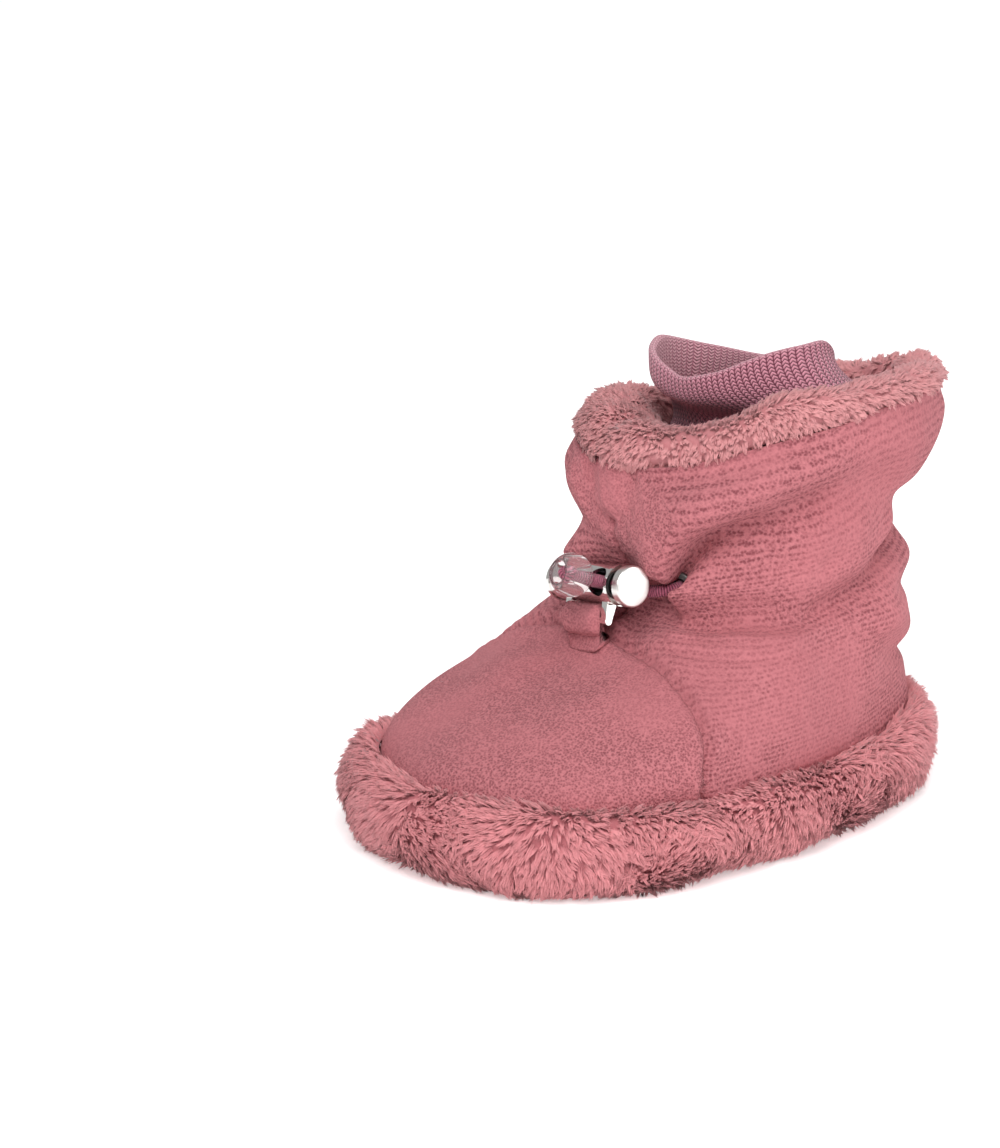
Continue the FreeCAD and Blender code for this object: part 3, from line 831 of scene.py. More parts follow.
    def creases(self, level: np.ndarray, angle: np.ndarray) -> np.ndarray:
        """How far the cloth stands out or dips at each place: every fold is a rounded groove along a line,
        with a swelling on its upper side, that fades at its ends, and every puff is a bell-shaped swelling.

        Args:
            level: levels.
            angle: angles, of the same shape.

        Returns:
            Millimetres outwards.
        """
        scale = np.array([self.AROUND, self.RISE])
        u, v = angle * self.AROUND, level * self.RISE
        total = np.zeros_like(u)
        for fold in self.FOLDS:
            path = np.array(fold.path) * scale
            runs = np.diff(path, axis=0)
            lengths = np.hypot(*runs.T)
            before = np.concatenate([[0], np.cumsum(lengths)])
            for turn in (0.0, 2 * math.pi * self.AROUND, -2 * math.pi * self.AROUND):
                best = np.full(u.shape, 1e9)
                share, drop = np.zeros(u.shape), np.zeros(u.shape)
                for k, (start, run) in enumerate(zip(path[:-1], runs)):
                    along = ((u - turn - start[0]) * run[0] + (v - start[1]) * run[1]) / lengths[k] ** 2
                    low, top = (-9.0 if k == 0 else 0.0), (9.0 if k == len(runs) - 1 else 1.0)
                    t = np.clip(along, low, top)
                    away = np.hypot(u - turn - start[0] - t * run[0], v - start[1] - t * run[1])
                    nearer = away < best
                    best = np.where(nearer, away, best)
                    share = np.where(nearer, (before[k] + t * lengths[k]) / before[-1], share)
                    drop = np.where(nearer, np.sign(v - start[1] - t * run[1]) * away, drop)
                ends = smoothstep(-0.22, 0.1, share) * (1 - smoothstep(0.88, 1.22, share))
                depth = fold.depth + (fold.end_depth - fold.depth) * np.clip(share, 0, 1)
                groove = np.exp(-((best / fold.width) ** 2))
                above = np.exp(-(((drop - 1.8 * fold.width) / (1.2 * fold.width)) ** 2))
                total += ends * depth * (fold.lip * above - groove)
        for at, height, out, wide, tall in self.PUFFS:
            aside, above = (angle - at) * self.AROUND / wide, (level - height) * self.RISE / tall
            total += out * np.exp(-(aside**2 + above**2))
        return total

    def dip(self, level: np.ndarray, angle: np.ndarray) -> np.ndarray:
        """How far the velour dips at each place, as a number that is zero or less."""
        ends = smoothstep(0.0, 1.0, level) * (1 - smoothstep(10.4, 11.0, level))
        return np.minimum(self.creases(level, angle) * ends, 0.0)

    def hood(self, points: np.ndarray) -> np.ndarray:
        """The soft velour that hides each eyelet: on its heel side a lip moves out of the eyelet's plane and
        forwards over it, and above it a brow moves out and down, both by bell-shaped amounts.

        Args:
            points: places in millimetres.

        Returns:
            The moved places.
        """
        moved = points.copy()
        for side, reach, drop in ((1.0, 1.0, 0.6), (-1.0, 0.75, -1.6)):
            flip = np.array([side, 1.0, 1.0])
            out = self.EYELET_OUT * flip
            across = np.array([-self.EYELET_OUT[1] * side, self.EYELET_OUT[0], 0.0])
            offset = points - self.EYELET * flip
            beside, above, deep = offset @ across, offset[..., 2], offset @ out
            near = np.exp(-((deep / 9.0) ** 2)) * reach
            lip = np.exp(-(((beside - 4.6 - 0.15 * above) / 3.4) ** 2) - ((above - drop) / 6.0) ** 2) * near
            brow = np.exp(-(((beside - 2.0) / 4.2) ** 2) - ((above - 4.9) / 3.0) ** 2) * near
            moved += lip[..., None] * (out * 5.8 - across * 3.9) + brow[..., None] * (out * 4.8 - UP * 5.0)
        return moved

    def seam_distance(self, points: np.ndarray) -> np.ndarray:
        """How far a place is behind the toe panel's seam, which leans back as it rises."""
        leaning = self.SEAM_RISE * np.maximum(points[..., 2] - self.SEAM_BEND, 0)
        return points[..., 1] - (self.SEAM_Y + leaning)

    def velour_surface(self, level: np.ndarray, angle: np.ndarray) -> np.ndarray:
        """The velour as it really lies: the form, its folds, the padding's unevenness and the grooves of its
        seams.

        Args:
            level: levels.
            angle: angles, of the same shape.

        Returns:
            Places in millimetres.
        """
        plain = self.point(level, angle)
        normal = self.normal(level, angle)
        shaft = smoothstep(20.0, 42.0, plain[..., 2])
        uneven = waves(plain * np.array([1.0, 1.0, 1.7]), 26.0, 3) * (0.25 + 0.45 * shaft)
        uneven = uneven + waves(plain, 11.0, 5) * 0.16 * shaft
        behind = self.seam_distance(plain)
        seam = -1.15 * np.exp(-((behind / 0.75) ** 2)) + 0.45 * np.exp(-(((np.abs(behind) - 2.3) / 1.4) ** 2))
        centre = np.abs(plain[..., 0])
        centre_on = (behind > 0) & (np.abs(angle) < 1.5) | (np.abs(angle) > 2.2)
        centre_groove = -0.7 * np.exp(-((centre / 0.8) ** 2)) + 0.3 * np.exp(-(((centre - 2.3) / 1.5) ** 2))
        centre_seam = np.where(centre_on, centre_groove, 0.0)
        pucker = 0.16 * np.sin(plain[..., 2] * 2.1) * np.exp(-((centre / 2.5) ** 2)) * centre_on
        pucker += 0.14 * np.sin(plain[..., 0] * 2.0 + plain[..., 2]) * np.exp(-((behind / 2.6) ** 2))
        ends = smoothstep(0.0, 1.0, level) * (1 - smoothstep(10.4, 11.0, level))
        out = (self.creases(level, angle) + uneven) * ends
        sewn = seam + centre_seam + pucker
        gather = 1 - smoothstep(0.0, 1.3, np.abs(level - self.CINCH))
        gathers = np.sin(np.abs(angle) * self.AROUND / 2.3 + 2 * waves(plain, 20.0, 9))
        out += gather * 0.3 * gathers * smoothstep(0.5, 0.9, np.abs(angle))
        if out.ndim > 1:
            out, normal = eased(out, 2), unit(eased(normal, 6))
        return self.hood(self.lean(plain + normal * (out + sewn)[..., None]))


FORM = Form()


# ------------------------------------------------------------------ pile


@dataclass(frozen=True)
class Pile:
    """Plush pile that lies over in locks: its length, a strand's radius, a lock's radius, how far a strand
    bows, how upright it stands, and the way it lies, as down, outwards and wavering shares."""

    length: float
    radius: float
    lock: float
    bow: float
    upright: float
    down: float
    outward: float
    waver: float


def scatter(
    points: np.ndarray, quads: np.ndarray, count: int, rng: np.random.Generator
) -> tuple[np.ndarray, np.ndarray]:
    """Random places spread evenly over a mesh: triangles are picked in proportion to their area.

    Args:
        points: the mesh's places.
        quads: its squares.
        count: how many places are wanted.
        rng: the random numbers.

    Returns:
        Places and their normals.
    """
    triangles = np.concatenate([quads[:, [0, 1, 2]], quads[:, [0, 2, 3]]])
    a, b, c = points[triangles[:, 0]], points[triangles[:, 1]], points[triangles[:, 2]]
    cross = np.cross(b - a, c - a)
    area = np.linalg.norm(cross, axis=1)
    chosen = np.searchsorted(np.cumsum(area) / area.sum(), rng.random(count))
    r, s = np.sqrt(rng.random((count, 1))), rng.random((count, 1))
    place = a[chosen] * (1 - r) + b[chosen] * r * (1 - s) + c[chosen] * r * s
    return place, unit(cross[chosen])


def tufts(
    name: str,
    body: str,
    points: np.ndarray,
    quads: np.ndarray,
    pile: Pile,
    locks: int,
    each: int,
    seed: int,
) -> bpy.types.Object:
    """Plush pile: the strands of each lock start side by side, lie the same way and meet near their tips.
    The way they lie wavers slowly over the cloth. A strand is a three-sided taper with two rings and a point,
    bent along a parabola. It is shaded mostly as the cloth below it faces, which looks soft.

    Args:
        name: the piece's name.
        body: the CAD body that it rides on.
        points: places of the backing cloth.
        quads: its squares.
        pile: the pile's sizes.
        locks: how many locks there are.
        each: how many strands a lock has.
        seed: picks the random numbers.

    Returns:
        The piece.
    """
    rng = np.random.default_rng(seed)
    middle, normal = scatter(points, quads, locks, rng)
    around = unit(np.cross(UP, middle * FLAT - np.array([0.0, 8.0, 0.0])))
    outward = np.cross(around, UP)
    waver = waves(middle, 30.0, 201)[:, None] * pile.waver
    lift = waves(middle, 24.0, 202)[:, None] * pile.waver * 0.8
    way = around * (0.25 + waver) + outward * pile.outward + UP * (lift - pile.down)
    way += rng.normal(size=way.shape) * 0.16
    lie = unit(way - normal * (way * normal).sum(axis=1, keepdims=True))
    tip = middle + pile.length * rng.uniform(0.75, 1.15, (locks, 1)) * unit(normal * pile.upright + lie)
    side = np.cross(normal, lie)
    total = locks * each
    spread = (rng.random((locks, each, 1)) - 0.5) * 2 * pile.lock
    ahead = (rng.random((locks, each, 1)) - 0.5) * 2 * pile.lock
    offset = side[:, None] * spread + lie[:, None] * ahead
    start = middle[:, None] + offset - normal[:, None] * 0.6
    end = tip[:, None] + offset * 0.35 + rng.normal(size=start.shape) * pile.length * 0.06
    bow = normal[:, None] * pile.bow + side[:, None] * (rng.normal(size=(locks, 1, 1)) * pile.bow * 0.7)
    bow = np.broadcast_to(bow, start.shape)
    start, end, bow = start.reshape(-1, 3), end.reshape(-1, 3), bow.reshape(-1, 3)
    along = unit(end - start)
    one = unit(np.cross(along, rng.normal(size=along.shape)))
    two = np.cross(along, one)
    stations, thick = np.array([0.0, 0.55]), np.array([1.0, 0.8])
    radius = pile.radius * rng.uniform(0.75, 1.25, total)
    turn = np.array([0.0, 2 * math.pi / 3, 4 * math.pi / 3])
    bend = (stations * (1 - stations) * 4)[None, :, None] * bow[:, None]
    centre = start[:, None] * (1 - stations)[None, :, None] + end[:, None] * stations[None, :, None] + bend
    cosine, sine = np.cos(turn)[None, None, :, None], np.sin(turn)[None, None, :, None]
    ring = one[:, None, None] * cosine + two[:, None, None] * sine
    rings = centre[:, :, None] + ring * (radius[:, None, None, None] * thick[None, :, None, None])
    corners = np.concatenate([rings.reshape(total, 6, 3), end[:, None]], 1).reshape(-1, 3)
    corners[:, 2] = np.maximum(corners[:, 2], 0.25)
    strand_points = 7
    base = (np.arange(total) * strand_points)[:, None, None]
    k = np.arange(3)
    walls = np.stack([k, (k + 1) % 3, (k + 1) % 3 + 3, k + 3], -1)
    caps = np.stack([k + 3, (k + 1) % 3 + 3, np.full(3, 6)], -1)
    # each lock gets a random tone, and each strand is painted darker towards its root as shade between the
    # strands
    shade_and_tone = np.repeat(rng.uniform(-0.2, 0.2, locks), each)[:, None]
    shade_and_tone = shade_and_tone + np.array([0.2, 0.2, 0.2, 0.65, 0.65, 0.65, 1.0])[None]
    sides = np.broadcast_to(ring, (total, 2, 3, 3)).reshape(total, 6, 3)
    facing = np.concatenate([sides, along[:, None]], 1) * 0.45
    facing = unit(facing + np.repeat(normal, each, 0)[:, None] * 0.9).reshape(-1, 3)
    faces = [(walls[None] + base).reshape(-1, 4), (caps[None] + base).reshape(-1, 3)]
    return new_mesh(name, corners, faces, body, shade=np.clip(shade_and_tone, 0, 1), facing=facing)


# ------------------------------------------------------------------ cloth pieces


@dataclass
class Upper:
    """The velour shell: a toe panel and two quarters, cut from one surface along the seams."""

    columns: int = 460
    rows: int = 150
    thickness: float = 1.4

    def build(self) -> None:
        """Makes the three panels and dresses them."""
        up, round_foot = np.linspace(0.35, FORM.TOP, self.rows), np.linspace(-math.pi, math.pi, self.columns)
        level, angle = np.meshgrid(up, round_foot, indexing="ij")
        surface = FORM.velour_surface(level, angle)
        uv = np.stack([angle * FORM.AROUND, level * FORM.RISE], -1).reshape(-1, 2)
        quads = grid_quads(self.rows, self.columns)
        centre = surface.reshape(-1, 3)[quads].mean(axis=1)
        behind = FORM.seam_distance(centre)
        sign = angle.reshape(-1)[quads].mean(axis=1)
        toe, rows = velour("velour_toe", Nap.PEBBLED), velour("velour_shaft", Nap.ROWS)
        margin = 1.2
        for name, node, keep, cut, finish in (
            ("vamp_velour", "vamp", (behind < margin) & (np.abs(sign) < 2.2), -1, toe),
            ("quarter_left_velour", "quarter_left", (behind > -margin) & (sign > 0), 1, rows),
            ("quarter_right_velour", "quarter_right", (behind > -margin) & (sign < 0), 1, rows),
        ):
            self.panel(name, node, surface.reshape(-1, 3), uv, quads[keep], cut, finish)

    def panel(
        self,
        name: str,
        node: str,
        points: np.ndarray,
        uv: np.ndarray,
        quads: np.ndarray,
        keep: int,
        finish: Finish,
    ) -> None:
        """Makes one panel: its part of the surface, trimmed straight along the seam and given a thickness.

        Args:
            name: the piece's name.
            node: the CAD node that it stands for.
            points: the whole surface's places.
            uv: their surface coordinates.
            quads: the panel's squares.
            keep: -1 to keep what is ahead of the seam, 1 to keep what is behind it.
            finish: its material.
        """
        used, numbers = np.unique(quads, return_inverse=True)
        piece = new_mesh(name, points[used], [numbers.reshape(-1, 4)], "boot", uv=uv[used])
        self.trim(piece, keep)
        solid = piece.modifiers.new("thickness", "SOLIDIFY")
        solid.thickness, solid.offset, solid.use_even_offset = self.thickness * MM, -1.0, False
        finish.dress(piece)
        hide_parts(node)
        log.info("%s: %d faces", name, len(piece.data.polygons))

    @staticmethod
    def trim(piece: bpy.types.Object, keep: int) -> None:
        """Cuts a panel along the seam's sloping plane.

        Args:
            piece: the panel.
            keep: -1 to keep what is ahead of the seam, 1 to keep what is behind it.
        """
        work = bmesh.new()
        work.from_mesh(piece.data)
        normal = Vector((0.0, 1.0, -FORM.SEAM_RISE)).normalized()
        place = Vector((0.0, FORM.SEAM_Y * MM, FORM.SEAM_BEND * MM))
        bend = (FORM.SEAM_BEND - 0.1) * MM
        upper = [f for f in work.faces if f.calc_center_median().z >= bend]
        lower = [f for f in work.faces if f.calc_center_median().z < bend]
        for faces, direction in ((upper, normal), (lower, Vector((0.0, 1.0, 0.0)))):
            left = [f for f in faces if f.is_valid]
            geometry = list({e for f in left for e in (*f.verts, *f.edges)}) + left
            bmesh.ops.bisect_plane(
                work,
                geom=geometry,
                plane_co=place,
                plane_no=direction,
                clear_outer=keep < 0,
                clear_inner=keep > 0,
                dist=1e-7,
            )
        work.to_mesh(piece.data)
        work.free()


@dataclass
class SoleBand:
    """The plush band round the sole, over a lumpy backing."""

    inner: float = 0.8
    reach: float = 5.2
    half_height: float = 6.4
    middle: float = 8.0
    locks: int = 3500
    each: int = 6

    def backing(self, rows: int, columns: int) -> np.ndarray:
        """The backing's places: a half ellipse carried round the sole's outline, higher at the toe and lumpy.

        Args:
            rows: places up the band.
            columns: places round it.

        Returns:
            Places in millimetres, rows by columns.
        """
        around = np.linspace(-math.pi, math.pi, columns, endpoint=False)
        turn = np.linspace(-1.9, 1.75, rows)
        turn_grid, angle = np.meshgrid(turn, around, indexing="ij")
        one = np.ones_like(angle)
        outline = FORM.point(one, angle)
        outward = FORM.normal(one, angle)
        outward[..., 2] = 0
        outward = unit(outward)
        toe = 1 + 0.16 * (1 - smoothstep(-58.0, -15.0, outline[..., 1]))
        heel = 1 - 0.4 * smoothstep(30.0, 58.0, outline[..., 1])
        lump = 1 + 0.07 * waves(outline * np.array([1, 1, 0]) + turn_grid[..., None] * 5.0, 17.0, 21)
        out = self.inner + self.reach * heel * np.cos(turn_grid) * lump
        places = outline + outward * out[..., None]
        swell = 1 + 0.04 * waves(outline, 22.0, 8)
        places[..., 2] = self.middle * toe + self.half_height * toe * np.sin(turn_grid) * swell
        places[..., 2] = np.maximum(places[..., 2], 1.2)
        return places

    def build(self) -> None:
        """Makes the backing and its pile."""
        rows, columns = 30, 360
        grid = self.backing(rows, columns)
        flat = grid.reshape(-1, 3)
        quads = grid_quads(rows, columns, wrap=True)
        finish = plush("plush_band", ROSE.plush_root_shade, ROSE.plush_tip)
        # the backing gets a low shade value, so it is painted in the dark root colour as shade under the pile
        base = new_mesh("rand_backing", flat, [quads], "boot", shade=np.full(len(flat), 0.15))
        solid = base.modifiers.new("thickness", "SOLIDIFY")
        solid.thickness, solid.offset = 0.8 * MM, -1.0
        finish.dress(base)
        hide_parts("sole_rand")
        for k, (length, radius, lock) in enumerate(((3.4, 0.25, 0.55), (3.0, 0.25, 0.5), (3.9, 0.21, 0.45))):
            pile = Pile(length, radius, lock, 0.35, 0.55, 0.35, 0.5, 0.7)
            piece = tufts(f"rand_pile_{k + 1}", "boot", flat, quads, pile, self.locks, self.each, 31 + k)
            finish.dress(piece)
        log.info("sole band: %d strands", 3 * self.locks * self.each)


@dataclass
class Collar:
    """The plush band rolled over the top of the shaft, and the lining below it."""

    height: float = 8.0
    depth: float = 6.6
    locks: int = 3500
    each: int = 6

    def backing(self, rows: int, columns: int) -> np.ndarray:
        """The backing's places: up the outside of the band, over its top and down its inside. The band is
        lower at the +X side of the heel, and its inside reaches further in at the front.

        Args:
            rows: places over the band.
            columns: places round it.

        Returns:
            Places in millimetres, rows by columns.
        """
        around = np.linspace(-math.pi, math.pi, columns, endpoint=False)
        share, angle = np.meshgrid(np.linspace(0, 1, rows), around, indexing="ij")
        top = np.full_like(angle, FORM.TOP)
        rim = FORM.point(top, angle)
        outward = FORM.normal(top, angle)
        outward[..., 2] = 0
        outward = unit(outward)
        turn = smoothstep(0.25, 0.70, share) * math.pi
        climb = np.clip(share / 0.30, 0, 1)
        fall = np.clip((share - 0.66) / 0.34, 0, 1)
        half = self.depth / 2
        wide = np.exp(-(((angle + 0.35) / 0.75) ** 2))
        low = 1 - 0.36 * np.exp(-(((angle - 2.1) / 0.8) ** 2))
        inset = 1.0 + half * (1 - np.cos(turn)) - 0.9 * np.sin(climb * math.pi) + 0.6 * fall
        inset += 8.5 * wide * smoothstep(0.4, 1.0, share)
        lump = waves(rim + share[..., None] * 6.0, 15.0, 41) * 0.5
        places = rim - outward * inset[..., None]
        rise = ((self.height - half) * climb * 0.75 + half * 0.8 * np.sin(turn)) * low
        places[..., 2] += 0.1 + rise - (9.0 - 5.5 * wide) * fall
        places[..., 2] += lump * np.sin(np.clip(share, 0, 1) * math.pi)
        return FORM.lean(places)

    def build(self) -> None:
        """Makes the band, its pile and the plush lining inside the shaft."""
        rows, columns = 34, 260
        grid = self.backing(rows, columns)
        quads = grid_quads(rows, columns, wrap=True)
        flat = grid.reshape(-1, 3)
        finish = plush("plush_collar", ROSE.collar_root_shade, ROSE.collar_tip)
        # the backing gets a low shade value, so it is painted in the dark root colour as shade under the pile
        base = new_mesh("collar_backing", flat, [quads], "boot", shade=np.full(len(flat), 0.15))
        solid = base.modifiers.new("thickness", "SOLIDIFY")
        solid.thickness, solid.offset = 0.8 * MM, -1.0
        finish.dress(base)
        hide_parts("collar_band")
        for k, (length, radius, lock) in enumerate(((2.3, 0.22, 0.4), (2.0, 0.22, 0.4))):
            pile = Pile(length, radius, lock, 0.3, 0.6, 0.55, 0.35, 0.3)
            piece = tufts(f"collar_pile_{k + 1}", "boot", flat, quads, pile, self.locks, self.each, 51 + k)
            finish.dress(piece)
        self.lining()

    def lining(self) -> None:
        """Makes the lining's three panels: the form inset by the shell, and its pile where it can be seen."""
        rows, columns = 70, 220
        up, around = np.linspace(0.6, FORM.TOP, rows), np.linspace(-math.pi, math.pi, columns)
        level, angle = np.meshgrid(up, around, indexing="ij")
        uneven = 0.3 * waves(FORM.point(level, angle), 9.0, 61)
        inset = 2.6 + FORM.bulge(level) + uneven - FORM.dip(level, angle)
        surface = FORM.lean(FORM.skin(level, angle, inset))
        quads = grid_quads(rows, columns)
        middle = surface.reshape(-1, 3)[quads].mean(axis=1)
        sign = angle.reshape(-1)[quads].mean(axis=1)
        behind = FORM.seam_distance(middle) > 0
        finish = plush("plush_lining", ROSE.plush_root_shade, ROSE.plush_tip)
        for name, node, keep in (
            ("vamp_lining_plush", "vamp_lining", ~behind & (np.abs(sign) < 2.2)),
            ("lining_left_plush", "lining_left", (behind | (np.abs(sign) >= 2.2)) & (sign > 0)),
            ("lining_right_plush", "lining_right", (behind | (np.abs(sign) >= 2.2)) & (sign < 0)),
        ):
            used, numbers = np.unique(quads[keep], return_inverse=True)
            # the lining is painted part way towards the dark root colour, as shade under its pile
            places, shade = surface.reshape(-1, 3)[used], np.full(len(used), 0.45)
            piece = new_mesh(name, places, [numbers.reshape(-1, 4)], "boot", shade=shade)
            solid = piece.modifiers.new("thickness", "SOLIDIFY")
            solid.thickness, solid.offset = 1.6 * MM, -1.0
            finish.dress(piece)
            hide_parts(node)
        upper = quads[(level.reshape(-1)[quads].mean(axis=1) > 8.6)][:, ::-1]
        inside = surface.reshape(-1, 3) - FORM.normal(level, angle).reshape(-1, 3) * 1.6
        pile = Pile(2.0, 0.28, 0.6, 0.3, 0.7, 0.5, -0.3, 0.4)
        piece = tufts("lining_pile", "boot", inside, upper, pile, 1500, 6, 71)
        finish.dress(piece)


class Casing:
    """The cloth tape that holds the drawcord round the ankle, between the shell and its lining."""

    START = 0.38
    LOW, HIGH = 7.15, 8.85
    DEPTH = 2.3

    def build(self) -> None:
        """Makes the tape: a band that follows the velour's dips from one eyelet round the heel to the
        other."""
        rows, columns = 14, 240
        up = np.linspace(self.LOW, self.HIGH, rows)
        around = np.linspace(self.START, 2 * math.pi - self.START, columns)
        level, angle = np.meshgrid(up, around, indexing="ij")
        turned = (angle + math.pi) % (2 * math.pi) - math.pi
        inset = self.DEPTH - FORM.dip(level, turned)
        surface = FORM.lean(FORM.skin(level, turned, inset))
        piece = new_mesh("casing_tape", surface.reshape(-1, 3), [grid_quads(rows, columns)], "boot")
        solid = piece.modifiers.new("thickness", "SOLIDIFY")
        solid.thickness, solid.offset = 0.5 * MM, -1.0
        cloth("tape_weave", (0.45, 0.16, 0.18), 1500.0).dress(piece)
        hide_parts("cord_casing")


@dataclass
class Cuff:
    """The knitted tube that stands out of the collar, folded double at its top."""

    rise: float = 20.5
    slope: float = -0.13
    depth: float = 39.0
    width: float = 30.0
    centre: float = 22.5
    wall: float = 1.5
    girth: float = 97.9
    cloth_length: float = 62.0

    def flop(self, angle: np.ndarray) -> np.ndarray:
        """How far the soft rim rises or sinks round the cuff: a smooth curve near ten chosen places."""
        at = np.array([-180.0, -110.0, -60.0, -31.0, 8.0, 40.0, 75.0, 112.0, 150.0, 180.0])
        rise = np.array([-1.5, -0.6, -0.8, -2.6, -6.6, -4.6, -0.8, 1.6, -3.4, -1.5])
        fine = np.radians(np.linspace(-180, 180, 721))
        curve = np.interp(fine, np.radians(at), rise)
        kernel = np.hanning(61) / np.hanning(61).sum()
        curve = np.convolve(np.concatenate([curve[-61:-1], curve, curve[1:61]]), kernel, "same")[60:-60]
        return np.interp(angle, fine, curve)

    def place(self, share: np.ndarray, angle: np.ndarray, inset: np.ndarray) -> np.ndarray:
        """Places on the cuff: it climbs from the lining to an oval rim, with soft slack folds.

        Args:
            share: 0 at its sewn lower edge and 1 at its folded top.
            angle: angles, of the same shape.
            inset: how far inside the cuff's outer face.

        Returns:
            Places in millimetres.
        """
        low = np.full_like(angle, FORM.TOP - 1.35)
        base = FORM.skin(low, angle, 4.9 + inset)
        sine, cosine = np.sin(angle), np.cos(angle)
        y = self.centre - (self.depth / 2 - inset) * np.sign(cosine) * np.abs(cosine) ** 0.9
        x = (self.width / 2 - inset) * np.sign(sine) * np.abs(sine) ** 1.05
        front = FORM.point(np.array([11.0]), np.array([0.0]))[0, 2] + self.rise
        top = np.stack([x, y, front + self.slope * (y - self.centre + self.depth / 2)], -1)
        ease = (share * share * (3 - 2 * share))[..., None]
        places = base + (top - base) * ease
        places[..., 2] = base[..., 2] + (top[..., 2] - base[..., 2]) * share
        places[..., 2] += self.flop(angle) * smoothstep(0.45, 1.0, share)
        pressed = 20.0 * np.exp(-(((share - 0.38) / 0.30) ** 2)) * smoothstep(0.0, 0.15, share)
        places[..., 1] += pressed * (np.clip(cosine + 0.35, 0, 2) / 1.35) ** 1.5
        out = np.stack([sine, -cosine, np.zeros_like(sine)], -1)
        slack = waves(np.stack([angle * 14, share * 9, angle * 0], -1), 20.0, 81) * 0.8
        slack = slack * smoothstep(0.15, 0.5, share)
        return FORM.lean(places + out * slack[..., None])

    def build(self) -> None:
        """Makes the cuff as one closed sheet: up the outside, over the rolled edge and down the inside."""
        rows, columns = 150, 420
        along = np.linspace(0, 1, rows)
        up = np.clip(along / 0.47, 0, 1)
        down = np.clip((along - 0.53) / 0.47, 0, 1)
        roll = np.clip((along - 0.47) / 0.06, 0, 1)
        share = np.where(along <= 0.5, up, 1 - down * 0.9)
        inset = self.wall * (1 - np.cos(roll * math.pi)) / 2
        angle = np.linspace(-math.pi, math.pi, columns, endpoint=False)
        share_grid, angle_grid = np.meshgrid(share, angle, indexing="ij")
        inset_grid = np.repeat(inset[:, None], columns, 1)
        places = self.place(share_grid, angle_grid, inset_grid)
        places[..., 2] += (np.sin(roll * math.pi) * self.wall / 2)[:, None]
        u = np.repeat((angle / (2 * math.pi) * self.girth)[None], rows, 0)
        v = np.repeat((along * self.cloth_length)[:, None], columns, 1)
        uv = np.stack([u, v], -1).reshape(-1, 2)
        quads = grid_quads(rows, columns, wrap=True)
        piece = new_mesh("cuff_knit", places.reshape(-1, 3), [quads], "boot", uv=uv)
        knit("knit_jersey").dress(piece)
        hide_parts("knit_cuff")
        log.info("cuff: %d faces", len(piece.data.polygons))


